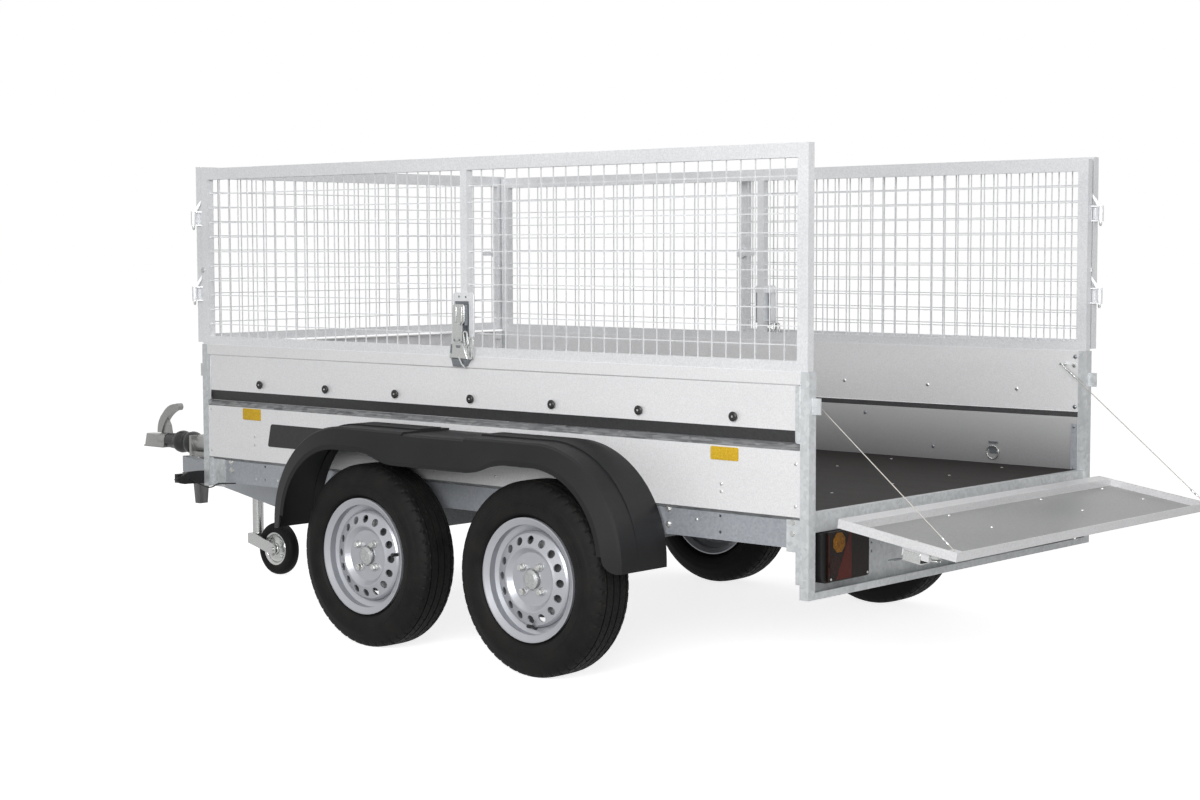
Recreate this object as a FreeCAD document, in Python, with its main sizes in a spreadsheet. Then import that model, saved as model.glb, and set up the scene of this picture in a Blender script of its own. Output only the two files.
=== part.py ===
# A tandem-axle box trailer with galvanised boards and mesh sides, its tailgate lowered.
# Frame: +X forward to the coupling, +Y to the left side, +Z up, all in millimetres.
# The origin is on the ground, under the middle of the overall length.

import FreeCAD, Part
import math
import os
import Sketcher
from FreeCAD import Placement, Rotation, Vector

os.makedirs("parts", exist_ok=True)
doc = FreeCAD.newDocument("utility_trailer")
sheet = doc.addObject("Spreadsheet::Sheet", "sizes")

# Driving dimensions
SIZES = {
    # Load body, measured from its rear end and from the ground
    "body_length": 2620,
    "body_width": 1502,
    "rail_bottom": 437,
    "rail_height": 87,
    "rail_width": 50,
    "rail_inset": 17,
    "rail_wall": 3,
    "rail_hole": 4.5,
    "rail_hole_in": 316,
    "rail_hole_low": 22,
    "rail_hole_high": 67,
    "floor_thick": 12,
    "post_width": 30,
    "post_wall": 3,
    "rear_post_foot": 302,
    "front_post_foot": 419,
    "keeper_out": 27,
    "keeper_low": 802,
    "keeper_tall": 44,
    "bracket_long": 70,
    "bracket_thick": 3,
    "rear_bracket_long": 55,
    "rear_bracket_low": 427,
    "lamp_plate_wide": 22,
    "lamp_plate_low": 340,
    "lamp_plate_tall": 140,
    "bearer_height": 60,
    "bearer_width": 40,
    "bearer_count": 6,
    # Side boards: two pressed panels, one above the other
    "board_thick": 26,
    "board_face_inset": 2,
    "lower_board_height": 196,
    "board_seam": 2,
    "upper_board_height": 193,
    "groove_depth": 18,
    "groove_lower": 17,
    "groove_upper": 35,
    "lip_height": 38,
    "lip_proud": 4,
    "recess_depth": 6,
    "recess_height": 17,
    # Mesh sides and mesh gates
    "mesh_height": 607,
    "mesh_depth": 26,
    "mesh_top_rail": 39,
    "mesh_bottom_rail": 28,
    "mesh_post": 36,
    "mesh_mid_post": 28,
    "mesh_pitch": 50,
    "mesh_first_wire": 70,
    "mesh_rows": 10,
    "wire": 3,
    "wire_sunk": 2,
    "wire_layer_gap": 0.2,
    "mesh_gate_gap": 6,
    "mesh_gate_pin_out": 16,
    "mesh_gate_rest": 267,
    "mesh_end_gap": 6,
    "mesh_gate_start": 20,
    "mesh_hinge_neck": 6,
    "latch_boss": 18,
    "latch_out": 12,
    "latch_handle": 70,
    # Over-centre latches at the middle of each mesh side
    "side_latch_from_tail": 1303,
    "side_latch_wide": 92,
    "side_latch_low": 880,
    "side_latch_tall": 230,
    "side_latch_corner": 14,
    "side_latch_window_low": 90,
    "side_latch_window_tall": 112,
    "side_latch_window_wide": 62,
    "side_latch_lever": 40,
    "side_latch_lever_out": 22,
    "side_latch_hook_out": 32,
    "side_latch_hook_tall": 80,
    "mesh_hinge_low": 150,
    "mesh_hinge_high": 410,
    # Drop gates at the rear and the front
    "gate_gap": 20,
    "gate_thick": 25,
    "gate_set_in": 2,
    "gate_foot_gap": 5,
    "rail_set_in": 8,
    "rear_rail_up": 45,
    "gate_sheet": 3,
    "gate_rim": 45,
    "gate_pin_out": 10,
    "gate_pin_height": 495,
    "gate_droop": 8.6,
    "hinge_pin": 5,
    "hinge_knuckle": 9,
    "hinge_width": 40,
    "hinge_ear": 4,
    "hinge_ear_gap": 1,
    "hinge_strap": 4,
    "hinge_strap_height": 90,
    "gate_hinge_spread": 520,
    "stay_block": 30,
    "toggle_in": 12,
    "toggle_width": 40,
    "toggle_low": 228,
    "toggle_long": 130,
    "toggle_lever": 84,
    "toggle_out": 24,
    # Running gear
    "axle_spread": 716,
    "rear_axle_from_tail": 877,
    "wheel_track": 1714,
    "tyre_radius": 288,
    "tyre_width": 160,
    "rim_radius": 182,
    "rim_width": 138,
    "rim_wall": 4,
    "rim_lip": 9,
    "rim_flare": 3,
    "bead_seat": 17,
    "seat_run": 22,
    "well_run": 9,
    "well_depth": 36,
    "disc_thick": 4,
    "disc_join": 47,
    "disc_join_wide": 10,
    "vent_radius": 12,
    "vent_ring": 116,
    "vents": 16,
    "fit": 0.3,
    # Axles, brakes and hubs
    "axle_tube": 70,
    "axle_ahead": 140,
    "axle_above": 74,
    "arm_width": 28,
    "arm_inboard": 84,
    "arm_hub_radius": 30,
    "arm_tube_share": 0.7,
    "mount_length": 180,
    "spindle_radius": 17,
    "drum_radius": 115,
    "drum_back": 36,
    "drum_face": 14,
    "drum_slope": 12,
    "hub_radius": 33,
    "flange_radius": 64,
    "cap_radius": 28.5,
    "cap_out": 13,
    "cap_dome": 4,
    "cap_edge": 9,
    "spindle_end": 16,
    "brake_gap": 5,
    "plate": 4,
    # Mudguards
    "guard_out": 219,
    "guard_ahead": 12,
    "guard_half_length": 750,
    "guard_radius": 325,
    "guard_top": 690,
    "guard_foot": 345,
    "guard_wall": 4,
    "guard_band": 54,
    "guard_lean": 18,
    "guard_shoulder": 8,
    "guard_round": 6,
    "guard_dip": 599,
    "guard_dip_half": 150,
    "guard_rise_half": 330,
    "guard_corner": 46,
    "guard_panel_half": 135,
    "guard_panel_low": 6,
    "guard_rib_in": 35,
    "guard_rib_wide": 90,
    "guard_rib_tall": 5,
    # Drawbar
    "arm_angle": 22.5,
    "drawbar_nose": 1080,
    "drawbar_bottom": 335,
    "drawbar_height": 102,
    "drawbar_nose_height": 65,
    "drawbar_width": 40,
    "drawbar_wall": 4,
    "drawbar_flat": 560,
    "drawbar_length": 1720,
    "drawbar_taper": 1000,
    "nose_half": 43,
    "nose_plate_half": 60,
    # Overrun device and coupling
    "shaft_height": 452,
    "shaft_radius": 25,
    "shaft_reach": 160,
    "housing_back": 50,
    "housing_radius": 34,
    "housing_length": 430,
    "housing_half": 38,
    "housing_base": 22,
    "housing_flange": 14,
    "flange_half": 46,
    "bellows_radius": 46,
    "bellows_root": 34,
    "bellows_lobe": 68,
    "bellows_facets": 6,
    "coupling_reach": 1380,
    "coupling_lip": 423,
    "socket_radius": 36,
    "ball_radius": 25,
    "dome_radius": 24,
    "head_height": 52,
    "head_below": 10,
    "head_wall": 5,
    "head_overlap": 14,
    "collar_long": 44,
    "handle_width": 24,
    "handle_back": 88,
    "lever_back": 280,
    "lever_thick": 8,
    "lever_foot": 36,
    "lever_tall": 254,
    "rod_height": 378,
    "rod_radius": 5,
    "rod_eye": 12,
    "foot_back": 65,
    "foot_long": 44,
    "foot_wide": 54,
    "foot_tall": 128,
    "foot_taper": 14,
    # Jockey wheel
    "jockey_ahead": 460,
    "jockey_left": 150,
    "jockey_wheel_radius": 100,
    "jockey_wheel_width": 50,
    "jockey_trail": 125,
    "jockey_inner_radius": 21,
    "jockey_outer_radius": 24,
    "jockey_outer_length": 430,
    "jockey_outer_foot": 290,
    "jockey_inner_length": 420,
    "jockey_cap": 12,
    "jockey_pin": 8,
    "fork_above": 50,
    "fork_gap": 5,
    "fork_wall": 5,
    "fork_eye": 20,
    "fork_rise": 12,
    "crank_radius": 7,
    "crank_rise": 70,
    "crank_arm": 110,
    "crank_grip": 60,
    "clamp_height": 84,
    "clamp_half": 36,
    # Lamps
    "crossbar_width": 40,
    "crossbar_height": 20,
    "lamp_inset": 21,
    "lamp_up": 43,
    "reflector_in": 289,
    "reflector_above": 138,
    "reflector_thick": 3,
    # Tailgate stays
    "stay_radius": 1.5,
    "stay_in": 8,
    "stay_from_edge": 12,
    "stay_ahead": 75,
    "stay_below": 42,
    "hook_radius": 4,
    "hook_length": 36,
    "lamp_width": 214,
    "lamp_height": 135,
    "lamp_depth": 48,
    "plate_hole": 4,
    "plate_holes_in": 418,
    "plate_holes_up": 108,
    "marker_thick": 12,
    "marker_low": 426,
    "marker_root": 4,
    "marker_from_root": 78,
    "marker_long": 52,
    "marker_out": 18,
    "marker_tall": 30,
    "marker_up": 9,
    "feed_radius": 2.3,
    "reflector_length": 95,
    "reflector_height": 40,
}
for row, (alias, value) in enumerate(SIZES.items(), 1):
    sheet.set(f"A{row}", alias)
    sheet.set(f"B{row}", str(value))
    sheet.setAlias(f"B{row}", alias)
doc.recompute()


def num(expression):
    """The present value of an expression on the sheet's cells."""
    return float(sheet.evalExpression(expression))


def s(alias):
    """The present value of one driving dimension."""
    return float(getattr(sheet, alias))


# Places worked out from the driving dimensions, as expressions
HALF = "(sizes.body_width / 2)"
FLOOR = "(sizes.rail_bottom + sizes.rail_height)"
BOARD_TOP = f"({FLOOR} + sizes.lower_board_height + sizes.board_seam + sizes.upper_board_height)"
GATE_FOOT = f"({FLOOR} + sizes.floor_thick + sizes.gate_foot_gap)"
GATE_TALL = f"({BOARD_TOP} - {GATE_FOOT})"
GATE_HALF = f"({HALF} - sizes.post_width - sizes.gate_gap)"
TAIL = (f"(0 - (sizes.body_length + sizes.coupling_reach - sizes.gate_pin_out"
        f" - ({GATE_TALL} + {GATE_FOOT} - sizes.gate_pin_height) * cos(sizes.gate_droop * 1deg)"
        f" - (sizes.gate_thick + sizes.gate_set_in + sizes.gate_pin_out)"
        f" * sin(sizes.gate_droop * 1deg)) / 2)")
REAR_PIN_X = f"({TAIL} - sizes.mesh_gate_pin_out)"
REAR_PIN_Y = f"(0 - {HALF} - sizes.mesh_gate_pin_out)"
FRONT_PIN_X = f"({TAIL} + sizes.body_length + sizes.mesh_gate_pin_out)"
FRONT_PIN_Y = f"({HALF} + sizes.mesh_gate_pin_out)"


def plane_of(body, role):
    """One of a body's own origin planes or axes."""
    return next(item for item in body.Origin.OriginFeatures if item.Role == role)


def new_body(label, x="0", y="0", z="0", alone=True):
    """An empty piece with its own label and a bound place, a sub-part when it stands alone."""
    body = doc.addObject("PartDesign::Body", label)
    body.Label = label
    bind(body, {"Placement.Base.x": x, "Placement.Base.y": y, "Placement.Base.z": z})
    if alone:
        sub_parts.append(body)
    return body


def bind(item, bound):
    """Tie an object's properties to expressions on the sheet."""
    for path, expression in bound.items():
        item.setExpression(path, expression)


def sketch_on(body, role, lift="0"):
    """A sketch on one of the body's origin planes, lifted off it by a bound distance."""
    section = body.newObject("Sketcher::SketchObject", "section")
    section.AttachmentSupport = [(plane_of(body, role), "")]
    section.MapMode = "FlatFace"
    section.setExpression("AttachmentOffset.Base.z", lift)
    return section


def outline(section, corners):
    """A closed loop of straight edges, each corner bound to its two coordinates."""
    points = [Vector(num(across), num(up), 0) for across, up in corners]
    first = section.GeometryCount
    count = len(points)
    edges = [Part.LineSegment(points[i], points[(i + 1) % count]) for i in range(count)]
    section.addGeometry(edges, False)
    for i in range(count):
        following = first + (i + 1) % count
        section.addConstraint(Sketcher.Constraint("Coincident", first + i, 2, following, 1))
    for i, (across, up) in enumerate(corners):
        hold_point(section, first + i, 1, across, up, points[i])


def hold_point(section, geometry, end, across, up, point):
    """Bind one point of a sketch to its distances from the sketch's origin."""
    for kind, expression, value in (("DistanceX", across, point.x), ("DistanceY", up, point.y)):
        constraint = Sketcher.Constraint(kind, -1, 1, geometry, end, value)
        index = section.addConstraint(constraint)
        section.setExpression(f"Constraints[{index}]", expression)


def rectangle(section, left, low, right, high):
    """A rectangle between two bound corners."""
    outline(section, [(left, low), (right, low), (right, high), (left, high)])


def circle(section, across, up, radius):
    """A circle with a bound centre and radius."""
    centre = Vector(num(across), num(up), 0)
    index = section.addGeometry(Part.Circle(centre, Vector(0, 0, 1), num(radius)), False)
    hold_point(section, index, 3, across, up, centre)
    constraint = section.addConstraint(Sketcher.Constraint("Radius", index, num(radius)))
    section.setExpression(f"Constraints[{constraint}]", radius)


def pad(body, section, length, reverse=False, middle=False):
    """Extrude a section by a bound length."""
    feature = body.newObject("PartDesign::Pad", "pad")
    feature.Profile = section
    feature.Reversed = reverse
    feature.Midplane = middle
    feature.setExpression("Length", length)
    return feature


def pocket(body, section, length, reverse=False, middle=False):
    """Cut a section out of the body by a bound depth, and check that it cut."""
    doc.recompute()
    before = body.Shape.Volume
    feature = body.newObject("PartDesign::Pocket", "pocket")
    feature.Profile = section
    feature.Reversed = reverse
    feature.Midplane = middle
    feature.setExpression("Length", length)
    doc.recompute()
    if not body.Shape.Volume < before:
        raise RuntimeError(f"{body.Label}: a pocket cut nothing")
    return feature


def revolve(body, section, axis="V_Axis"):
    """Turn a section once round one of its own sketch's axes."""
    feature = body.newObject("PartDesign::Revolution", "revolution")
    feature.Profile = section
    feature.ReferenceAxis = (section, [axis])
    feature.Angle = 360
    return feature


def row(body, feature, role, pitch, count):
    """Repeat a feature along one of the body's axes, at a bound pitch."""
    pattern = body.newObject("PartDesign::LinearPattern", "row")
    pattern.Originals = [feature]
    pattern.Direction = (plane_of(body, role), [""])
    pattern.Occurrences = count
    pattern.setExpression("Length", f"{count - 1} * ({pitch})")
    body.Tip = pattern
    return pattern


def ring(body, feature, role, count):
    """Repeat a feature evenly round one of the body's axes."""
    pattern = body.newObject("PartDesign::PolarPattern", "ring")
    pattern.Originals = [feature]
    pattern.Axis = (plane_of(body, role), [""])
    pattern.Angle = 360
    pattern.Occurrences = count
    body.Tip = pattern
    return pattern


def block(label, low, high):
    """A plain rectangular piece between two bound corners."""
    piece = doc.addObject("Part::Box", label)
    piece.Label = label
    for k, (side, axis) in enumerate((("Length", "x"), ("Width", "y"), ("Height", "z"))):
        bind(piece, {f"Placement.Base.{axis}": low[k], side: f"({high[k]}) - ({low[k]})"})
    return piece


def rod(label, radius, length, start, turn=None):
    """A round bar from a bound start, along +Z before its turn."""
    piece = doc.addObject("Part::Cylinder", label)
    piece.Label = label
    if turn:
        piece.Placement = Placement(Vector(), turn)
    bind(piece, {"Radius": radius, "Height": length})
    for axis, expression in zip("xyz", start):
        piece.setExpression(f"Placement.Base.{axis}", expression)
    return piece


def keep(piece):
    """Count a finished object among the sub-parts."""
    sub_parts.append(piece)
    return piece


def joined(label, pieces):
    """Several pieces made as one."""
    whole = doc.addObject("Part::MultiFuse", label)
    whole.Label = label
    whole.Shapes = pieces
    return keep(whole)


def grouped(label, pieces):
    """Like pieces on one carrier, which don't touch each other."""
    whole = doc.addObject("Part::Compound", label)
    whole.Label = label
    whole.Links = pieces
    return keep(whole)


def shaped(label, shape, x=0, y=0, z=0):
    """A sub-part whose form is set directly, placed afterwards."""
    piece = doc.addObject("Part::Feature", label)
    piece.Label = label
    piece.Shape = shape
    piece.Placement = Placement(Vector(x, y, z), Rotation())
    return keep(piece)


def arc(start, through, end):
    """A round edge through three points of the XZ plane."""
    return Part.Arc(*[Vector(x, 0, z) for x, z in (start, through, end)]).toShape()


def line(start, end):
    """A straight edge between two points of the XZ plane."""
    return Part.LineSegment(Vector(start[0], 0, start[1]), Vector(end[0], 0, end[1])).toShape()


def face_of(edges):
    """The flat face inside a loop of edges, given in any order."""
    return Part.Face(Part.Wire(Part.sortEdges(edges)[0]))


sub_parts = []
ACROSS = Rotation(Vector(1, 0, 0), -90)
ALONG = Rotation(Vector(0, 1, 0), 90)
SIDES = {"left": 1, "right": -1}


def floor_and_rails():
    """The plywood floor, its two C-section side rails, its bearers and its end rails."""
    inner = f"({HALF} - sizes.board_face_inset - sizes.board_thick)"
    keep(block("floor_board", (f"{TAIL} + sizes.post_width", f"0 - {inner}", FLOOR),
               (f"{TAIL} + sizes.body_length - sizes.post_width", inner,
                f"{FLOOR} + sizes.floor_thick")))
    outer = f"({HALF} - sizes.rail_inset)"
    for side, hand in SIDES.items():
        rail = new_body(f"side_rail_{side}", f"{TAIL} + sizes.crossbar_width", "0", "sizes.rail_bottom")
        section = sketch_on(rail, "YZ_Plane")
        back = f"({outer} - sizes.rail_width)"
        web = f"({outer} - sizes.rail_wall)"
        top = "sizes.rail_height"
        corners = [(outer, "0"), (outer, top), (back, top), (back, f"{top} - sizes.rail_wall"),
                   (web, f"{top} - sizes.rail_wall"), (web, "sizes.rail_wall"),
                   (back, "sizes.rail_wall"), (back, "0")]
        outline(section, [(f"{hand} * {across}", up) for across, up in corners])
        pad(rail, section, "sizes.body_length - sizes.crossbar_width - sizes.post_width")
        holes = sketch_on(rail, "XZ_Plane", f"{-hand} * {outer}")
        for along in ("sizes.rail_hole_in", "(sizes.body_length - sizes.rail_hole_in)"):
            for up in ("sizes.rail_hole_low", "sizes.rail_hole_high"):
                circle(holes, f"{along} - sizes.crossbar_width", up, "sizes.rail_hole")
        pocket(rail, holes, "2 * sizes.rail_wall", reverse=hand > 0)
    reach = f"({outer} - sizes.rail_width)"
    bearers = []
    for k in range(SIZES["bearer_count"]):
        place = (f"{TAIL} + sizes.post_width + {k + 0.5} * (sizes.body_length - 2 * sizes.post_width)"
                 " / sizes.bearer_count")
        bearer = new_body(f"bearer_{k}", place, "0", f"{FLOOR} - sizes.bearer_height", alone=False)
        section = sketch_on(bearer, "XZ_Plane")
        half, tall, wall = "sizes.bearer_width / 2", "sizes.bearer_height", "sizes.rail_wall"
        back = f"(0 - {half})"
        outline(section, [(back, "0"), (half, "0"), (half, wall), (f"{back} + {wall}", wall),
                          (f"{back} + {wall}", f"{tall} - {wall}"), (half, f"{tall} - {wall}"),
                          (half, tall), (back, tall)])
        pad(bearer, section, f"2 * {reach}", middle=True)
        bearers.append(bearer)
    grouped("floor_bearers", bearers)
    for end, low, high in (("rear", f"{TAIL} + sizes.rail_set_in", f"{TAIL} + sizes.post_width"),
                           ("front", f"{TAIL} + sizes.body_length - sizes.post_width",
                            f"{TAIL} + sizes.body_length - sizes.rail_set_in")):
        foot = "sizes.rail_bottom" if end == "front" else "(sizes.rail_bottom + sizes.rear_rail_up)"
        rail = new_body(f"{end}_cross_rail", low, "0", foot)
        section = sketch_on(rail, "XZ_Plane")
        inside, wall = f"({HALF} - sizes.post_width)", "sizes.rail_wall"
        deep, tall = f"({high} - ({low}))", f"({FLOOR} + sizes.floor_thick - {foot})"
        rectangle(section, "0", "0", deep, tall)
        rectangle(section, wall, wall, f"{deep} - {wall}", f"{tall} - {wall}")
        pad(rail, section, f"2 * {inside}", middle=True)
        outer, toward = (f"(0 - sizes.rail_set_in - sizes.gate_pin_out)", -1)
        inner = "sizes.fit"
        if end == "front":
            outer, toward = (f"(sizes.post_width + sizes.gate_pin_out)", 1)
            inner = "(sizes.post_width - sizes.rail_set_in - sizes.fit)"
        gate_hinges(rail, outer, inner, toward, f"(sizes.gate_pin_height - {foot})")


def posts():
    """The four hollow corner posts of the body."""
    for end, foot, x in (("rear", "sizes.rear_post_foot", TAIL),
                         ("front", "sizes.front_post_foot",
                          f"{TAIL} + sizes.body_length - sizes.post_width")):
        pair = []
        for side, hand in SIDES.items():
            low = f"{HALF} - sizes.post_width" if hand > 0 else f"0 - {HALF}"
            post = new_body(f"{end}_post_{side}", x, low, foot, alone=False)
            section = sketch_on(post, "XY_Plane")
            rectangle(section, "0", "0", "sizes.post_width", "sizes.post_width")
            inside = "sizes.post_width - sizes.post_wall"
            rectangle(section, "sizes.post_wall", "sizes.post_wall", inside, inside)
            pad(post, section, f"{BOARD_TOP} - {foot}")
            toward = -1 if end == "rear" else 1
            face = TAIL if end == "rear" else f"({TAIL} + sizes.body_length)"
            tip = f"({face} + {toward} * sizes.keeper_out)"
            middle = f"{hand} * ({HALF} - sizes.post_width / 2)"
            edges = sorted((face, tip), key=num)
            keeper = block(f"{end}_keeper_{side}",
                           (edges[0], f"{middle} - sizes.plate / 2", "sizes.keeper_low"),
                           (edges[1], f"{middle} + sizes.plate / 2", "sizes.keeper_low + sizes.keeper_tall"))
            pieces = [post, keeper]
            web = f"({HALF} - sizes.rail_inset)"
            skin = f"({web} + sizes.bracket_thick)"
            y = sorted((f"{hand} * {web}", f"{hand} * {skin}"), key=num)
            if end == "front":
                pieces.append(block(f"bracket_{side}", (f"{x} - sizes.bracket_long", y[0], foot),
                                    (f"{x} + sizes.post_wall", y[1], FLOOR)))
            else:
                start, edge = f"({x} + sizes.post_width - sizes.post_wall)", f"({x} + sizes.post_width)"
                pieces.append(block(f"rear_bracket_{side}", (start, y[0], "sizes.rear_bracket_low"),
                                    (f"{edge} + sizes.rear_bracket_long", y[1], FLOOR)))
                y = sorted((f"{hand} * {skin}", f"{hand} * ({skin} + sizes.bracket_thick)"), key=num)
                pieces.append(block(f"lamp_plate_{side}", (start, y[0], "sizes.lamp_plate_low"),
                                    (f"{edge} + sizes.lamp_plate_wide", y[1],
                                     "sizes.lamp_plate_low + sizes.lamp_plate_tall")))
            whole = doc.addObject("Part::MultiFuse", f"{end}_post_whole_{side}")
            whole.Shapes = pieces
            pair.append(whole)
        grouped(f"{end}_posts", pair)


def side_boards():
    """Two pressed panels on each side, with a V-groove between them and a lip on top."""
    face = f"({HALF} - sizes.board_face_inset)"
    back = f"({face} - sizes.board_thick)"
    root = f"({face} - sizes.groove_depth)"
    tall = "sizes.lower_board_height"
    recess = f"({back} + sizes.recess_depth)"
    lower = [(back, "0"), (face, "0"), (face, f"{tall} - sizes.groove_lower"), (root, tall), (recess, tall),
             (recess, f"{tall} - sizes.recess_height"), (back, f"{tall} - sizes.recess_height")]
    top = "sizes.upper_board_height"
    proud = f"({face} + sizes.lip_proud)"
    upper = [(back, "0"), (root, "0"), (face, "sizes.groove_upper"),
             (face, f"{top} - sizes.lip_height"),
             (proud, f"{top} - sizes.lip_height + sizes.lip_proud"), (proud, top), (back, top)]
    levels = {"lower": (FLOOR, lower), "upper": (f"{FLOOR} + {tall} + sizes.board_seam", upper)}
    for level, (foot, corners) in levels.items():
        for side, hand in SIDES.items():
            board = new_body(f"{level}_board_{side}", f"{TAIL} + sizes.post_width", "0", foot)
            section = sketch_on(board, "YZ_Plane")
            outline(section, [(f"{hand} * {across}", up) for across, up in corners])
            pad(board, section, "sizes.body_length - 2 * sizes.post_width")


def mesh_panel(label, length, bays, x, y, z, turn=None):
    """A framed grid of square-section wires, along its own X, in one or two bays."""
    panel = new_body(label, x, y, z)
    if turn:
        panel.Placement = Placement(Vector(num(x), num(y), num(z)), turn)
    frame = sketch_on(panel, "XZ_Plane")
    rectangle(frame, "0", "0", length, "sizes.mesh_height")
    low = "sizes.mesh_bottom_rail"
    high = "(sizes.mesh_height - sizes.mesh_top_rail)"
    bay = f"(({length} - 2 * sizes.mesh_post - {bays - 1} * sizes.mesh_mid_post) / {bays})"
    starts = [f"(sizes.mesh_post + {k} * ({bay} + sizes.mesh_mid_post))" for k in range(bays)]
    for start in starts:
        rectangle(frame, start, low, f"{start} + {bay}", high)
    pad(panel, frame, "sizes.mesh_depth", reverse=True)
    columns = int(num(bay) / s("mesh_pitch") - 0.2)
    near = "(sizes.mesh_depth / 2 + sizes.wire_layer_gap / 2)"
    for start in starts:
        upright = sketch_on(panel, "XY_Plane", f"{low} - sizes.wire_sunk")
        left = f"{start} + sizes.mesh_pitch - sizes.wire / 2"
        rectangle(upright, left, near, f"{left} + sizes.wire", f"{near} + sizes.wire")
        feature = pad(panel, upright, f"{high} - {low} + 2 * sizes.wire_sunk")
        row(panel, feature, "X_Axis", "sizes.mesh_pitch", columns)
    level = sketch_on(panel, "YZ_Plane", "sizes.mesh_post - sizes.wire_sunk")
    far = "(sizes.mesh_depth / 2 - sizes.wire_layer_gap / 2 - sizes.wire)"
    rectangle(level, far, "sizes.mesh_first_wire - sizes.wire / 2",
              f"{far} + sizes.wire", "sizes.mesh_first_wire + sizes.wire / 2")
    feature = pad(panel, level, f"{length} - 2 * sizes.mesh_post + 2 * sizes.wire_sunk")
    row(panel, feature, "Z_Axis", "sizes.mesh_pitch", SIZES["mesh_rows"])
    return panel


def knuckles_on(panel, pin):
    """The two knuckles at a mesh gate's hinged edge, bored for their pins."""
    gap = "(sizes.hinge_ear + sizes.hinge_ear_gap - sizes.mesh_gate_gap)"
    for level in ("sizes.mesh_hinge_low", "sizes.mesh_hinge_high"):
        lift = f"{level} + {gap}"
        knuckle = sketch_on(panel, "XY_Plane", lift)
        circle(knuckle, "0 - sizes.mesh_gate_start", pin, "sizes.hinge_knuckle")
        pad(panel, knuckle, "sizes.hinge_width")
        leaf = sketch_on(panel, "XY_Plane", lift)
        rectangle(leaf, "0 - sizes.mesh_gate_start", f"{pin} - sizes.hinge_strap / 2", "sizes.wire",
                  f"{pin} + sizes.hinge_strap / 2")
        pad(panel, leaf, "sizes.hinge_width")
        bore = sketch_on(panel, "XY_Plane", lift)
        circle(bore, "0 - sizes.mesh_gate_start", pin, "sizes.hinge_pin + sizes.fit")
        pocket(panel, bore, "sizes.hinge_width", reverse=True)


def latch_on(panel, length):
    """The turn latch at a mesh gate's free edge: a round boss and its flat handle."""
    level = "(sizes.mesh_height / 2)"
    centre = f"({length} - sizes.mesh_post / 2)"
    boss = sketch_on(panel, "XZ_Plane", "0 - sizes.mesh_depth")
    circle(boss, centre, level, "sizes.latch_boss")
    pad(panel, boss, "sizes.latch_out", reverse=True)
    handle = sketch_on(panel, "XZ_Plane", "0 - sizes.mesh_depth - sizes.latch_out / 2")
    rectangle(handle, f"{centre} - sizes.latch_handle", f"{level} - sizes.latch_boss / 2", centre,
              f"{level} + sizes.latch_boss / 2")
    pad(panel, handle, "sizes.latch_out / 2", reverse=True)


def pins_on(panel, pin, way):
    """Two hinge pins at a corner of a mesh side, each held by an ear above and below."""
    tall = "(sizes.hinge_width + 2 * sizes.hinge_ear_gap + 2 * sizes.hinge_ear)"
    along = "(sizes.mesh_gate_pin_out + 2 * sizes.mesh_end_gap)"
    out = "(sizes.mesh_gate_pin_out + sizes.mesh_end_gap)"
    slope = math.atan2(num(out), num(along))
    across = (math.sin(slope) / 2, math.cos(slope) / 2)
    for level in ("sizes.mesh_hinge_low", "sizes.mesh_hinge_high"):
        for lift in (level, f"{level} + {tall} - sizes.hinge_ear"):
            eye = sketch_on(panel, "XY_Plane", lift)
            neck = []
            for reach, side in ((0, -1), (1, -1), (1, 1), (0, 1)):
                shift = [f"{side * part} * sizes.mesh_hinge_neck" for part in across]
                neck.append((f"{pin[0]} + {way} * ({reach} * {along} - {shift[0]})",
                             f"{pin[1]} + {way} * ({reach} * {out} + {shift[1]})"))
            outline(eye, neck)
            pad(panel, eye, "sizes.hinge_ear")
            round_end = sketch_on(panel, "XY_Plane", lift)
            circle(round_end, pin[0], pin[1], "sizes.hinge_knuckle")
            pad(panel, round_end, "sizes.hinge_ear")
        post = sketch_on(panel, "XY_Plane", level)
        circle(post, pin[0], pin[1], "sizes.hinge_pin")
        pad(panel, post, tall)


def mesh_sides():
    """The fixed mesh sides, and the mesh gates hinged to them at the rear and the front."""
    length = "(sizes.body_length - 2 * sizes.mesh_end_gap)"
    for side, hand in SIDES.items():
        low = f"{HALF} - sizes.mesh_depth" if hand > 0 else f"0 - {HALF}"
        panel = mesh_panel(f"mesh_{side}", length, 2, f"{TAIL} + sizes.mesh_end_gap", low, BOARD_TOP)
        pin = ("(0 - sizes.mesh_end_gap - sizes.mesh_gate_pin_out)", "(0 - sizes.mesh_gate_pin_out)")
        if hand > 0:
            pin = (f"({length} + sizes.mesh_end_gap + sizes.mesh_gate_pin_out)",
                   "(sizes.mesh_depth + sizes.mesh_gate_pin_out)")
        pins_on(panel, pin, -hand)
    gate = "(sizes.body_width + sizes.mesh_gate_pin_out - sizes.mesh_gate_start - sizes.mesh_end_gap)"
    foot = f"({BOARD_TOP} + sizes.mesh_gate_gap)"
    swing = Rotation(Vector(0, 0, 1), s("mesh_gate_rest") - 270)
    edge, near = s("mesh_gate_start"), s("mesh_gate_pin_out") - s("mesh_gate_gap") - s("mesh_depth")
    rear = swing.multVec(Vector(edge, near, 0))
    panel = mesh_panel("rear_mesh_gate", gate, 1, f"{REAR_PIN_X} + {rear.x}", f"{REAR_PIN_Y} + {rear.y}",
                       foot, swing)
    knuckles_on(panel, "(sizes.mesh_depth - sizes.mesh_gate_pin_out + sizes.mesh_gate_gap)")
    latch_on(panel, gate)
    panel = mesh_panel("front_mesh_gate", gate, 1, f"{FRONT_PIN_X} - sizes.mesh_gate_pin_out",
                       f"{FRONT_PIN_Y} - sizes.mesh_gate_start", foot, Rotation(Vector(0, 0, 1), -90))
    knuckles_on(panel, "sizes.mesh_gate_pin_out")
    latch_on(panel, gate)


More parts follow.
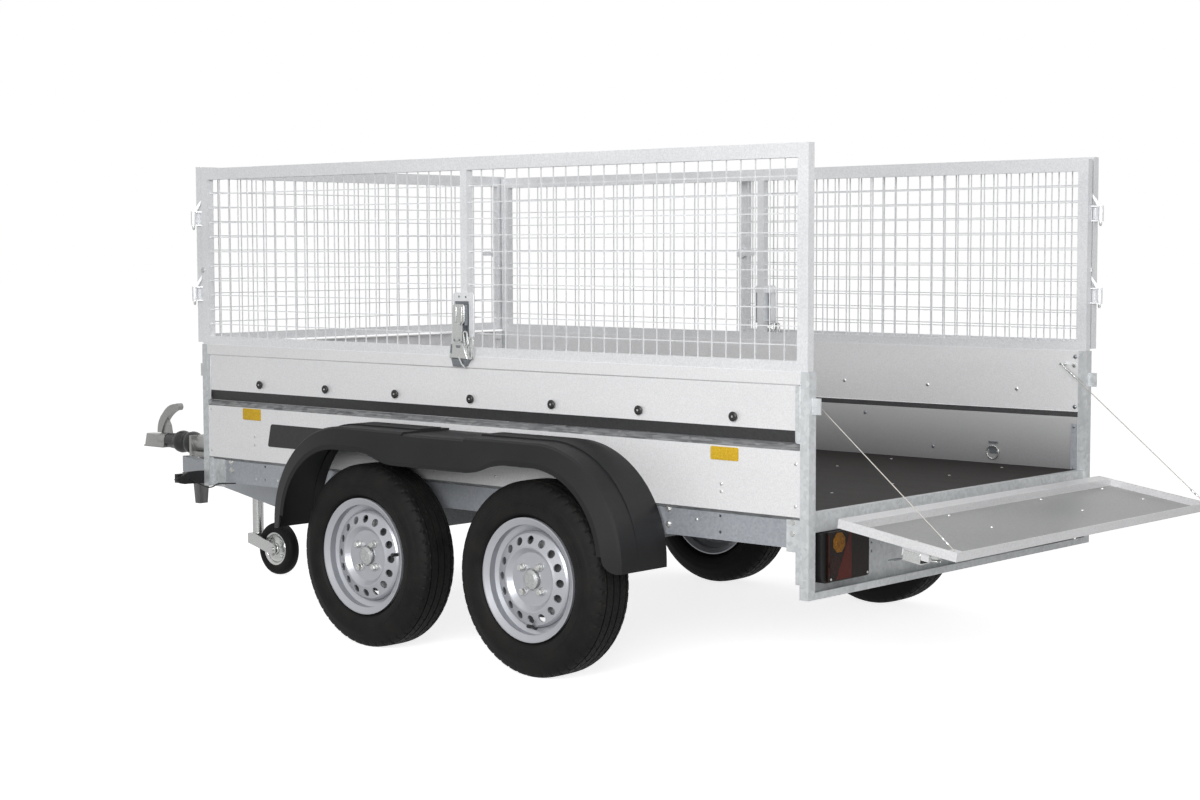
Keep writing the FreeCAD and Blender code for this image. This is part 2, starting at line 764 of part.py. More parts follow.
def drop_gate(label, x, z, turn):
    """A pan-shaped gate of folded sheet, hinged along its foot, modelled shut."""
    gate = new_body(label, x, "0", z)
    gate.Placement = Placement(Vector(num(x), 0, num(z)), turn)
    outside = "(sizes.gate_pin_out + sizes.gate_set_in)"
    inside = f"({outside} + sizes.gate_thick)"
    foot = f"({GATE_FOOT} - sizes.gate_pin_height)"
    head = f"({foot} + {GATE_TALL})"
    face = sketch_on(gate, "YZ_Plane", outside)
    rectangle(face, f"0 - {GATE_HALF}", foot, GATE_HALF, head)
    pad(gate, face, "sizes.gate_thick")
    doc.recompute()
    pan = sketch_on(gate, "YZ_Plane", inside)
    rectangle(pan, f"0 - {GATE_HALF} + sizes.gate_sheet", f"{foot} + sizes.gate_rim",
              f"{GATE_HALF} - sizes.gate_sheet", f"{head} - sizes.gate_sheet")
    pocket(gate, pan, "sizes.gate_thick - sizes.gate_sheet")
    blocks = sketch_on(gate, "YZ_Plane", outside)
    for hand in (1, -1):
        edge, low = f"{hand} * ({GATE_HALF} - sizes.stay_block)", f"{head} - sizes.stay_block"
        rectangle(blocks, edge, low, f"{hand} * {GATE_HALF}", head)
    pad(gate, blocks, "sizes.gate_thick")
    for k in (-1, 0, 1):
        middle = f"{k} * sizes.gate_hinge_spread"
        strap = sketch_on(gate, "YZ_Plane", f"{outside} - sizes.hinge_strap")
        rectangle(strap, f"{middle} - sizes.hinge_width / 2", "0",
                  f"{middle} + sizes.hinge_width / 2", "sizes.hinge_strap_height")
        pad(gate, strap, "sizes.hinge_strap")
        knuckle = sketch_on(gate, "XZ_Plane", f"0 - ({middle})")
        circle(knuckle, "0", "0", "sizes.hinge_knuckle")
        pad(gate, knuckle, "sizes.hinge_width", middle=True)
    for hand in (1, -1):
        inner, outer = f"{hand} * ({GATE_HALF} - sizes.toggle_in - sizes.toggle_width)", \
            f"{hand} * ({GATE_HALF} - sizes.toggle_in)"
        for out, low, tall in (("sizes.plate", "sizes.toggle_low", "sizes.toggle_long"),
                               ("sizes.toggle_out", "(sizes.toggle_low + sizes.toggle_width / 2)",
                                "sizes.toggle_lever")):
            latch = sketch_on(gate, "YZ_Plane", f"{outside} - {out}")
            rectangle(latch, inner, low, outer, f"{low} + {tall}")
            pad(gate, latch, out)
    bore = sketch_on(gate, "XZ_Plane")
    circle(bore, "0", "0", "sizes.hinge_pin + sizes.fit")
    pocket(gate, bore, "sizes.body_width", middle=True)
    return gate


def gate_hinges(rail, x, inner, toward, level):
    """Three pins held in ears on an end rail, which a drop gate's knuckles turn on."""
    half = "(sizes.hinge_width / 2 + sizes.hinge_ear_gap)"
    for k in (-1, 0, 1):
        middle = f"({k} * sizes.gate_hinge_spread)"
        pin = sketch_on(rail, "XZ_Plane", f"0 - {middle}")
        circle(pin, x, level, "sizes.hinge_pin")
        for way, start in ((1, half), (-1, f"({half} + sizes.hinge_ear)")):
            low = f"({middle} + {way} * {start})"
            ear = sketch_on(rail, "XZ_Plane", f"0 - {low}")
            rectangle(ear, f"{x} + {toward} * sizes.hinge_knuckle", f"{level} - sizes.hinge_knuckle",
                      inner, f"{level} + sizes.hinge_knuckle")
            pad(rail, ear, "sizes.hinge_ear", reverse=True)
        pad(rail, pin, f"2 * ({half} + sizes.hinge_ear / 2)", middle=True)


def drop_gates():
    """The lowered tailgate and the shut front gate."""
    open_turn = Rotation(Vector(0, 1, 0), -90 - s("gate_droop"))
    drop_gate("tailgate", f"{TAIL} - sizes.gate_pin_out", "sizes.gate_pin_height", open_turn)
    drop_gate("front_gate", f"{TAIL} + sizes.body_length + sizes.gate_pin_out",
              "sizes.gate_pin_height", Rotation(Vector(0, 0, 1), 180))


# Tyre sidewall: share of its height above the rim, and depth inside its widest point
SIDEWALL = ((0.10, 9), (0.26, 2), (0.45, 0), (0.66, 4), (0.86, 14), (0.95, 24), (1, 38))
# Rim disc, from its edge to its bolt face: share of the well's inner radius, depth inside the rim's edge
DISC_FRONT = ((0.985, 27), (0.945, 22), (0.73, 11), (0.68, 8), (0.65, 9), (0.555, 23))
DISC_BACK = ((0.955, 28), (0.925, 26), (0.72, 15), (0.68, 12), (0.66, 13), (0.565, 27))


def wheel(label, x, hand):
    """A tyre, its pressed rim with a ring of round vents, and the brake drum with its grease cap."""
    y = f"{hand} * sizes.wheel_track / 2"
    edge, r, wall = "(sizes.rim_width / 2)", "sizes.rim_radius", "sizes.rim_wall"
    seat, well = f"({r} - sizes.bead_seat)", f"({r} - sizes.well_depth)"
    lip = f"({edge} - sizes.rim_lip)"
    seat_out = f"({lip} - sizes.rim_flare)"
    seat_in = f"({seat_out} - sizes.seat_run)"
    drop = f"({seat_in} - sizes.well_run)"
    tyre = new_body(f"tyre_{label}", x, y, "sizes.tyre_radius")
    bead = f"({seat_out} - sizes.fit)"
    flank = [(f"{seat} + sizes.fit", bead), (f"{r} + sizes.fit", bead)]
    flank += [(f"{r} + {share} * (sizes.tyre_radius - {r})", f"sizes.tyre_width / 2 - {depth}")
              for share, depth in SIDEWALL]
    section = sketch_on(tyre, "XY_Plane")
    outline(section, flank + [(across, f"0 - ({up})") for across, up in reversed(flank)])
    revolve(tyre, section)
    rim = new_body(f"rim_{label}", x, y, "sizes.tyre_radius")
    inner = f"({well} - {wall})"
    half = [(r, edge), (r, lip), (seat, seat_out), (seat, seat_in), (well, drop)]
    hollow = [(f"{r} - {wall}", edge), (f"{seat} - {wall}", f"{seat_out} + {wall}"),
              (f"{seat} - {wall}", f"{seat_in} + {wall}"), (inner, f"{drop} + {wall}")]
    join = f"{edge} - sizes.disc_join"
    rear_join = f"{join} - sizes.disc_join_wide"
    back = [(inner, rear_join), (f"{DISC_BACK[0][0]} * {inner}", rear_join)]
    back += [(f"{share} * {inner}", f"{edge} - {depth}") for share, depth in DISC_BACK]
    front = [(inner, join)] + [(f"{share} * {inner}", f"{edge} - {depth}") for share, depth in DISC_FRONT]
    bolt_face = f"{edge} - {DISC_FRONT[-1][1]}"
    loop = half + [(across, f"0 - ({up})") for across, up in reversed(half)]
    loop += [(across, f"0 - ({up})") for across, up in hollow] + back
    loop += [("sizes.hub_radius", f"{bolt_face} - sizes.disc_thick"), ("sizes.hub_radius", bolt_face)]
    loop += list(reversed(front)) + list(reversed(hollow))
    section = sketch_on(rim, "XY_Plane")
    outline(section, [(across, f"{hand} * ({up})") for across, up in loop])
    revolve(rim, section)
    vent = sketch_on(rim, "XZ_Plane", f"{-hand} * {edge}")
    circle(vent, "sizes.vent_ring", "0", "sizes.vent_radius")
    ring(rim, pocket(rim, vent, "sizes.vent_ring / 4", reverse=hand > 0), "Y_Axis", SIZES["vents"])
    drum = new_body(f"hub_{label}", x, y, "sizes.tyre_radius")
    pin, deep, cap = "(sizes.spindle_radius + sizes.fit)", "(0 - sizes.drum_back)", "sizes.cap_radius"
    flange = f"({bolt_face} - sizes.disc_thick - sizes.fit)"
    turned = [(pin, deep), ("sizes.drum_radius", deep), ("sizes.drum_radius", "sizes.drum_face"),
              ("sizes.flange_radius", "sizes.drum_face + sizes.drum_slope"), ("sizes.flange_radius", flange),
              (cap, flange), (cap, f"{flange} + sizes.cap_out"),
              (f"{cap} - sizes.cap_edge", f"{flange} + sizes.cap_out + sizes.cap_dome"),
              ("0", f"{flange} + sizes.cap_out + sizes.cap_dome"), ("0", "sizes.spindle_end"),
              (pin, "sizes.spindle_end")]
    section = sketch_on(drum, "XY_Plane")
    outline(section, [(across, f"{hand} * ({up})") for across, up in turned])
    revolve(drum, section)


def running_gear():
    """Two rubber-sprung axles under the rails, and their four wheels."""
    for end, wheel_x in (("rear", f"({TAIL} + sizes.rear_axle_from_tail)"),
                         ("front", f"({TAIL} + sizes.rear_axle_from_tail + sizes.axle_spread)")):
        centre = f"({wheel_x} + sizes.axle_ahead)"
        high = "(sizes.tyre_radius + sizes.axle_above)"
        half_tube = "sizes.axle_tube / 2"
        inboard = "(sizes.wheel_track / 2 - sizes.arm_inboard - sizes.arm_width)"
        tube = block(f"{end}_tube", (f"{centre} - {half_tube}", f"0 - {inboard}", f"{high} - {half_tube}"),
                     (f"{centre} + {half_tube}", inboard, f"{high} + {half_tube}"))
        pieces = [tube]
        for side, hand in SIDES.items():
            outer = f"({HALF} - sizes.rail_inset)"
            y = sorted((f"{hand} * {outer}", f"{hand} * ({outer} - sizes.rail_width)"), key=num)
            pieces.append(block(f"{end}_mount_{side}",
                                (f"{centre} - sizes.mount_length / 2", y[0], f"{high} + {half_tube}"),
                                (f"{centre} + sizes.mount_length / 2", y[1], "sizes.rail_bottom")))
            pieces.append(trailing_arm(f"{end}_arm_{side}", wheel_x, hand))
            foot = f"{hand} * (sizes.wheel_track / 2 - sizes.arm_inboard)"
            length = "sizes.arm_inboard - sizes.fit"
            turn = Rotation(Vector(1, 0, 0), -90 * hand)
            pieces.append(rod(f"{end}_spindle_{side}", "sizes.spindle_radius", length,
                              (wheel_x, foot, "sizes.tyre_radius"), turn))
            plate = f"{hand} * (sizes.wheel_track / 2 - sizes.drum_back - sizes.brake_gap - sizes.plate)"
            pieces.append(rod(f"{end}_backplate_{side}", "sizes.drum_radius", "sizes.plate",
                              (wheel_x, plate, "sizes.tyre_radius"), turn))
        joined(f"{end}_axle", pieces)
        for side, hand in SIDES.items():
            wheel(f"{end}_{side}", wheel_x, hand)


def trailing_arm(label, wheel_x, hand):
    """A forged arm from the axle tube back and down to the spindle."""
    inner = s("wheel_track") / 2 - s("arm_inboard") - s("arm_width")
    hub, tube = s("arm_hub_radius"), s("axle_tube") * s("arm_tube_share")
    ahead, above = s("axle_ahead"), s("axle_above")
    reach = math.hypot(ahead, above)
    slope = math.atan2(above, ahead)
    lean = math.asin((tube - hub) / reach)
    corners = []
    for centre, radius, way in (((0, 0), hub, 1), ((ahead, above), tube, 1),
                                ((ahead, above), tube, -1), ((0, 0), hub, -1)):
        angle = slope + way * (math.pi / 2 + lean)
        corners.append((centre[0] + radius * math.cos(angle), centre[1] + radius * math.sin(angle)))
    tip = (ahead + tube * math.cos(slope), above + tube * math.sin(slope))
    heel = (-hub * math.cos(slope), -hub * math.sin(slope))
    loop = Part.Wire([line(corners[0], corners[1]), arc(corners[1], tip, corners[2]),
                      line(corners[2], corners[3]), arc(corners[3], heel, corners[0])])
    solid = Part.Face(loop).extrude(Vector(0, hand * s("arm_width"), 0))
    arm = doc.addObject("Part::Feature", label)
    arm.Shape = solid
    arm.Placement = Placement(Vector(num(wheel_x), hand * inner, s("tyre_radius")), Rotation())
    return arm


def guard_line(inset, y, dipped=False):
    """One line over both wheels, foot to foot, set inwards; the dipped one is the lip's."""
    half, radius, top = s("guard_half_length"), s("guard_radius"), s("guard_top")
    bend, centre = half - radius, top - radius
    rise, dip_half = s("guard_rise_half"), s("guard_dip_half")
    low = s("guard_foot") - s("guard_corner")
    r, side, crest = radius - inset, half - inset, top - inset
    dip, between = crest, (rise + dip_half) / 2
    if dipped:
        dip = s("guard_dip") - (inset - s("guard_band"))
    fall = crest - dip
    diagonal = r * math.sqrt(0.5)
    quarter = (rise - dip_half) / 4
    sag = fall / 4
    if fall:
        wave = (quarter ** 2 * 4 + (fall / 2) ** 2) / fall
        sag = wave - math.sqrt(wave ** 2 - quarter ** 2)
    runs = [[(side, low), (side, centre)],
            [(side, centre), (bend + diagonal, centre + diagonal), (bend, crest)],
            [(bend, crest), (rise, crest)],
            [(rise, crest), (rise - quarter, crest - sag), (between, crest - fall / 2)],
            [(between, crest - fall / 2), (dip_half + quarter, dip + sag), (dip_half, dip)]]
    if not fall:
        runs[3:] = [[(rise, crest), (between, crest)], [(between, crest), (dip_half, crest)]]
    loop = runs + [[(dip_half, dip), (-dip_half, dip)]]
    loop += [[(-x, z) for x, z in reversed(run)] for run in reversed(runs)]
    loop.append([(-side, low), (side, low)])
    edges = []
    for run in loop:
        places = [Vector(x, y, z) for x, z in run]
        edges.append(Part.Arc(*places).toShape() if len(run) == 3 else Part.LineSegment(*places).toShape())
    return Part.Wire(edges)


def guard_form(inset):
    """The filled form of a guard's skin: crown, shoulder, leaning band, ribs and the low middle panel."""
    out, lean, band = s("guard_out"), s("guard_lean"), s("guard_band")
    top, shoulder, edge = s("guard_top"), s("guard_shoulder"), s("guard_round")
    ledge = out - lean
    crown = ledge - shoulder - inset
    inner = -inset / 2
    level = guard_line(inset, inner)
    body = Part.Face(level).extrude(Vector(0, crown - inner, 0))
    if inset:
        slope = (band - edge) / lean
        past = 2 * inset
        flank = Part.makeLoft([guard_line(inset, crown + edge / 2),
                               guard_line(band + inset + slope * past, out + past / 2, True)], True, True)
        body = body.fuse(Part.Face(guard_line(inset, crown)).extrude(Vector(0, edge / 2, 0)))
    else:
        flank = Part.makeLoft([guard_line(edge, ledge), guard_line(band, out, True)], True, True)
        body = body.fuse(Part.makeLoft([guard_line(0, crown), guard_line(edge, ledge)], True, True))
    rib = Part.Face(guard_line(inset, s("guard_rib_in") + inset))
    rib = rib.extrude(Vector(0, s("guard_rib_wide") - 2 * inset, 0))
    rib.translate(Vector(0, 0, s("guard_rib_tall")))
    body = body.fuse([flank, rib])
    flat = top - s("guard_panel_low") - inset
    step = flat - s("guard_panel_low")
    half = s("guard_panel_half") + inset
    beyond, over = out + band, top + band
    corners = [(-band, flat), (crown, flat), (crown + shoulder + 1, step), (beyond, step),
               (beyond, over), (-band, over)]
    panel = Part.makePolygon([Vector(-half, y, z) for y, z in corners + corners[:1]])
    return body.cut(Part.Face(panel).extrude(Vector(2 * half, 0, 0)))


def mudguards():
    """A moulded guard over each pair of wheels: a thin skin, ribbed on top, with a leaning outer band."""
    half, foot, corner, out = s("guard_half_length"), s("guard_foot"), s("guard_corner"), s("guard_out")
    skin = guard_form(0).cut(guard_form(s("guard_wall")))
    trims = [Part.makeBox(4 * half, 2 * out, corner, Vector(-2 * half, -out / 2, foot - corner))]
    heel, deep = half - s("guard_shoulder"), s("guard_band") + s("guard_shoulder")
    diagonal = corner * math.sqrt(0.5)
    for way in (1, -1):
        begin, end = (way * heel, foot), (way * (heel - corner), foot + corner)
        edges = [arc(begin, (way * (heel - diagonal), foot + corner - diagonal), end),
                 line(end, (way * (heel - deep), foot + corner)),
                 line((way * (heel - deep), foot + corner), (way * (heel - deep), foot)),
                 line((way * (heel - deep), foot), begin)]
        cutter = face_of(edges).extrude(Vector(0, out, 0))
        cutter.translate(Vector(0, out / 2, 0))
        trims.append(cutter)
    skin = skin.cut(trims)
    if len(skin.Solids) != 1:
        raise RuntimeError(f"the guard came out as {len(skin.Solids)} solids")
    middle = num(f"{TAIL} + sizes.rear_axle_from_tail + sizes.axle_spread / 2 + sizes.guard_ahead")
    side_face = num(f"{HALF} - sizes.board_face_inset")
    left = skin.Solids[0].removeSplitter()
    right = left.mirror(Vector(), Vector(0, 1, 0))
    for side, shape in (("left", left), ("right", right)):
        shaped(f"mudguard_{side}", shape, middle, SIDES[side] * side_face, 0)


def drawbar():
    """The V of two tapered channels, bolted under the rails, with a plate across its nose."""
    nose = f"({TAIL} + sizes.body_length + sizes.drawbar_nose)"
    for side, hand in SIDES.items():
        arm = new_body(f"drawbar_{side}", nose, f"{hand} * sizes.nose_half", "sizes.drawbar_bottom")
        turn = Rotation(Vector(0, 0, 1), 180 - hand * s("arm_angle"))
        arm.Placement = Placement(Vector(num(nose), hand * s("nose_half"), s("drawbar_bottom")), turn)
        section = sketch_on(arm, "XZ_Plane")
        thin, tall = "sizes.drawbar_nose_height", "sizes.drawbar_height"
        outline(section, [("0", "0"), ("sizes.drawbar_length", "0"), ("sizes.drawbar_length", tall),
                          ("sizes.drawbar_taper", tall), ("sizes.drawbar_flat", thin), ("0", thin)])
        pad(arm, section, "sizes.drawbar_width", reverse=hand > 0)
        doc.recompute()
        hollow = sketch_on(arm, "XZ_Plane", f"{-hand} * sizes.drawbar_width")
        wall = "sizes.drawbar_wall"
        under_tall, under_thin = f"{tall} - {wall}", f"{thin} - {wall}"
        outline(hollow, [("0", wall), ("sizes.drawbar_length", wall), ("sizes.drawbar_length", under_tall),
                         ("sizes.drawbar_taper", under_tall), ("sizes.drawbar_flat", under_thin),
                         ("0", under_thin)])
        pocket(arm, hollow, f"sizes.drawbar_width - {wall}", reverse=hand > 0)


def overrun():
    """The overrun housing with its flange, the bellows, and the hand brake lever."""
    nose = f"({TAIL} + sizes.body_length + sizes.drawbar_nose)"
    front = f"({nose} - sizes.housing_back)"
    rear = f"({front} - sizes.housing_length)"
    seat = "(sizes.drawbar_bottom + sizes.drawbar_nose_height)"
    base = block("housing_base", (rear, "0 - sizes.housing_half", seat),
                 (front, "sizes.housing_half", f"{seat} + sizes.housing_base"))
    tube = rod("housing_tube", "sizes.housing_radius", "sizes.housing_length",
               (rear, "0", "sizes.shaft_height"), ALONG)
    flange = block("housing_flange", (f"{front} - sizes.housing_flange", "0 - sizes.flange_half", seat),
                   (front, "sizes.flange_half", "sizes.shaft_height + sizes.housing_radius"))
    shaft = rod("draw_shaft", "sizes.shaft_radius", "sizes.shaft_reach + sizes.housing_back",
                (front, "0", "sizes.shaft_height"), ALONG)
    link = block("brake_link",
                 (f"{rear} + sizes.plate", "0 - sizes.lever_thick / 2", "sizes.rod_height - sizes.rod_eye"),
                 (f"{rear} + sizes.housing_half", "sizes.lever_thick / 2", f"{seat} + sizes.plate"))
    joined("overrun_housing", [base, tube, flange, shaft, link])
    axle = (f"({TAIL} + sizes.rear_axle_from_tail + sizes.axle_spread + sizes.axle_ahead"
            " + sizes.axle_tube / 2)")
    keep(rod("brake_rod", "sizes.rod_radius", f"{rear} + sizes.plate - {axle}",
             (axle, "0", "sizes.rod_height"), ALONG))
    bellows(front)
    coupling()
    lever = new_body("brake_lever", f"{front} - sizes.lever_back", "sizes.housing_half",
                     f"{seat} + sizes.housing_base / 2")
    section = sketch_on(lever, "XZ_Plane")
    outline(section, [(f"{along} * sizes.lever_foot", f"{up} * sizes.lever_tall") for along, up in LEVER])
    pad(lever, section, "sizes.lever_thick", reverse=True)
    centre = f"({nose} - sizes.foot_back)"
    plate = block("nose_plate", (f"{centre} - sizes.flange_half", "0 - sizes.nose_plate_half",
                                 "sizes.drawbar_bottom - sizes.plate"),
                  (f"{centre} + sizes.flange_half", "sizes.nose_plate_half", "sizes.drawbar_bottom"))
    rims = []
    long, wide, taper = s("foot_long"), s("foot_wide"), s("foot_taper")
    for z, along, across in ((-s("plate") / 2, long, wide), (-s("foot_tall"), long - taper, wide - taper)):
        x, y = along / 2, across / 2
        rims.append(Part.makePolygon([Vector(-x, -y, z), Vector(x, -y, z), Vector(x, y, z), Vector(-x, y, z),
                                      Vector(-x, -y, z)]))
    foot = doc.addObject("Part::Feature", "foot")
    foot.Shape = Part.makeLoft(rims, True)
    foot.Placement = Placement(Vector(num(centre), 0, s("drawbar_bottom")), Rotation())
    joined("nose_foot", [plate, foot])


def bellows(front):
    """The rubber bellows round the draw shaft: two swelling folds and a tapered neck."""
    gaiter = new_body("bellows", front, "0", "sizes.shaft_height")
    bore = "(sizes.shaft_radius + sizes.fit)"
    length = "(sizes.housing_back + sizes.shaft_reach - sizes.head_overlap - sizes.fit)"
    facets = SIZES["bellows_facets"]
    profile = [("0", bore)]
    for k in range(2 * facets + 1):
        swell = abs(math.sin(math.pi * k / facets))
        profile.append((f"{k} * sizes.bellows_lobe / {facets}",
                        f"sizes.bellows_root + {swell:.4f} * (sizes.bellows_radius - sizes.bellows_root)"))
    profile += [(length, "sizes.shaft_radius + sizes.plate"), (length, bore)]
    section = sketch_on(gaiter, "XZ_Plane")
    outline(section, profile)
    revolve(gaiter, section, "H_Axis")


# Hand brake lever: places along it and up it, as shares of its foot and its height
LEVER = ((-0.5, -0.12), (0.5, -0.12), (0.6, 0.04), (1.7, 0.98), (1.2, 1), (0.1, 0.08), (-0.5, 0.04))


def coupling():
    """A pressed coupling head with a flared lip and a ball socket, and its curved handle."""
    tip = s("coupling_reach") + num(f"{TAIL} + sizes.body_length")
    ball_x = tip - s("socket_radius")
    low = s("coupling_lip")
    ball_z = low + s("head_below")
    head_x = num(f"{TAIL} + sizes.body_length + sizes.drawbar_nose + sizes.shaft_reach") - s("head_overlap")
    lip = Part.makeCylinder(s("socket_radius"), s("plate"), Vector(ball_x, 0, low))
    wide = 2 * s("socket_radius")
    lip = lip.fuse(Part.makeBox(ball_x - head_x, wide, s("plate"), Vector(head_x, -wide / 2, low)))
    dome = Part.makeCone(s("socket_radius") - s("plate"), s("dome_radius"), s("head_height"),
                         Vector(ball_x, 0, low))
    top = low + s("head_height")
    x0, x1 = head_x, ball_x
    r0, r1 = s("socket_radius") - s("plate"), s("dome_radius")
    rims = [Part.makePolygon([Vector(x0, -r, z), Vector(x1, -r, z), Vector(x1, r, z), Vector(x0, r, z),
                              Vector(x0, -r, z)]) for r, z in ((r0, low), (r1, top))]
    body = Part.makeLoft(rims, True)
    collar = Part.makeCylinder(s("shaft_radius") + s("head_wall"), s("collar_long"),
                               Vector(head_x, 0, s("shaft_height")), Vector(1, 0, 0))
    head = lip.fuse([dome, body, collar])
    bore = Part.makeCylinder(s("shaft_radius") + s("fit"), s("head_overlap") + s("fit"),
                             Vector(head_x, 0, s("shaft_height")), Vector(1, 0, 0))
    ball = Part.makeSphere(s("ball_radius"), Vector(ball_x, 0, ball_z))
    mouth = Part.makeCylinder(s("ball_radius"), s("head_below") + 1, Vector(ball_x, 0, low - 1))
    shaped("coupling_head", head.cut(bore).cut(ball.fuse(mouth)).removeSplitter())
    points = [(x, z) for x, z in HANDLE]
    edges = [arc(*points[k:k + 3]) for k in (0, 2, 4, 6)] + [line(points[8], points[0])]
    half = s("handle_width") / 2
    grip = face_of(edges).extrude(Vector(0, 2 * half, 0))
    catch = Part.makePolygon([Vector(x, 0, z) for x, z in CATCH + CATCH[:1]])
    catch = Part.Face(catch).extrude(Vector(0, half, 0))
    catch.translate(Vector(0, half / 2, 0))
    shaped("coupling_handle", grip.fuse(catch), tip - s("handle_back"), -half,
           s("shaft_height") + s("shaft_radius") + s("head_wall") + s("fit"))


# The coupling handle from its foot over the grip and back, and its safety catch: along X, up from the foot
HANDLE = ((0, 0), (-8, 44), (-38, 82), (-72, 110), (-126, 124), (-149, 112), (-129, 99), (-66, 62), (-28, 0))
CATCH = [(-38, 0), (-84, 0), (-76, 34), (-58, 60), (-44, 44)]


# Jockey wheel, from its hub to its tread: share of its radius, depth inside its widest point
ROLLER = ((0.2, 0), (0.24, 9), (0.5, 11), (0.55, 6), (0.62, 2), (0.8, 0), (0.93, 4), (1, 13))


def jockey_wheel():
    """The clamped outer tube with its crank, the sliding inner tube, the fork and the wheel."""
    x = f"({TAIL} + sizes.body_length + sizes.jockey_ahead)"
    y = "sizes.jockey_left"
    outer = rod("jockey_outer", "sizes.jockey_outer_radius", "sizes.jockey_outer_length",
                (x, y, "sizes.jockey_outer_foot"))
    bore = rod("jockey_bore", "sizes.jockey_inner_radius + sizes.fit",
               "sizes.jockey_outer_length - sizes.jockey_cap", (x, y, "sizes.jockey_outer_foot"))
    top = "(sizes.jockey_outer_foot + sizes.jockey_outer_length)"
    stem = rod("crank_stem", "sizes.crank_radius", "sizes.crank_rise", (x, y, top))
    bar = f"({top} + sizes.crank_rise)"
    wide = "2 * sizes.crank_radius"
    arm = block("crank_arm", (f"{x} - {wide}", f"{y} - {wide}", bar),
                (f"{x} + {wide}", f"{y} + sizes.crank_arm + {wide}", f"{bar} + sizes.crank_radius"))
    grip = rod("crank_grip", "1.5 * sizes.crank_radius", "sizes.crank_grip",
               (x, f"{y} + sizes.crank_arm", f"{bar} + sizes.crank_radius"))
    clamp = doc.addObject("PartDesign::Body", "jockey_clamp")
    clamp.Placement = Placement(Vector(num(x), num(y), s("drawbar_bottom")),
                                Rotation(Vector(0, 0, 1), -s("arm_angle")))
    section = sketch_on(clamp, "XY_Plane")
    ahead = "(sizes.drawbar_nose - sizes.jockey_ahead)"
    reach = (f"((sizes.nose_half - {y}) * cos(sizes.arm_angle * 1deg)"
             f" + {ahead} * sin(sizes.arm_angle * 1deg) - sizes.drawbar_width)")
    rectangle(section, "0 - sizes.clamp_half", "0 - sizes.clamp_half", "sizes.clamp_half", reach)
    pad(clamp, section, "sizes.clamp_height")
    solid = doc.addObject("Part::MultiFuse", "jockey_sleeve_solid")
    solid.Shapes = [outer, stem, arm, grip, clamp]
    sleeve = doc.addObject("Part::Cut", "jockey_sleeve")
    sleeve.Label = "jockey_sleeve"
    sleeve.Base, sleeve.Tool = solid, bore
    keep(sleeve)
    foot = "(sizes.jockey_wheel_radius + sizes.fork_above)"
    keep(rod("jockey_tube", "sizes.jockey_inner_radius", "sizes.jockey_inner_length", (x, y, foot)))
    fork = new_body("jockey_fork", x, y, "sizes.jockey_wheel_radius")
    inside = "(sizes.jockey_wheel_width / 2 + sizes.fork_gap)"
    cheek = sketch_on(fork, "XZ_Plane")
    tail, eye = "(0 - sizes.jockey_trail)", "sizes.fork_eye"
    outline(cheek, [(f"{tail} - 0.8 * {eye}", f"0 - 0.7 * {eye}"), (f"{tail} + {eye} / 2", f"0 - {eye}"),
                    ("sizes.jockey_inner_radius", "sizes.fork_rise"),
                    ("sizes.jockey_inner_radius", "sizes.fork_above"),
                    ("0 - sizes.jockey_inner_radius", "sizes.fork_above"),
                    (f"{tail} - {eye} / 4", eye), (f"{tail} - {eye}", f"{eye} / 2")])
    pad(fork, cheek, f"2 * ({inside} + sizes.fork_wall)", middle=True)
    doc.recompute()
    room = sketch_on(fork, "XZ_Plane")
    rectangle(room, f"{tail} - 2 * {eye}", f"0 - 2 * {eye}", "0 - sizes.jockey_inner_radius + sizes.fit",
              "2 * sizes.fork_above")
    pocket(fork, room, f"2 * {inside}", middle=True)
    pin = sketch_on(fork, "XZ_Plane")
    circle(pin, "0 - sizes.jockey_trail", "0", "sizes.jockey_pin")
    pad(fork, pin, f"2 * ({inside} + 2 * sizes.fork_wall)", middle=True)
    roller = new_body("jockey_roller", f"{x} - sizes.jockey_trail", y, "sizes.jockey_wheel_radius")
    section = sketch_on(roller, "XY_Plane")
    r, half = "sizes.jockey_wheel_radius", "sizes.jockey_wheel_width / 2"
    bored = "(sizes.jockey_pin + sizes.fit)"
    flank = [(bored, half)] + [(f"{share} * {r}", f"{half} - {depth}") for share, depth in ROLLER]
    outline(section, flank + [(across, f"0 - ({up})") for across, up in reversed(flank)])
    revolve(roller, section)


# Small holes in the lamp plate, about their middle
PERFORATION = ((-12, -12), (12, -12), (0, 0), (-12, 12), (12, 12))
# The marker's rubber arm, from its foot: outward, and up from its lower corner
ARM = ((0, 43), (46, 46), (92, 45), (147, 22), (126, 8), (97, 4), (0, 0))


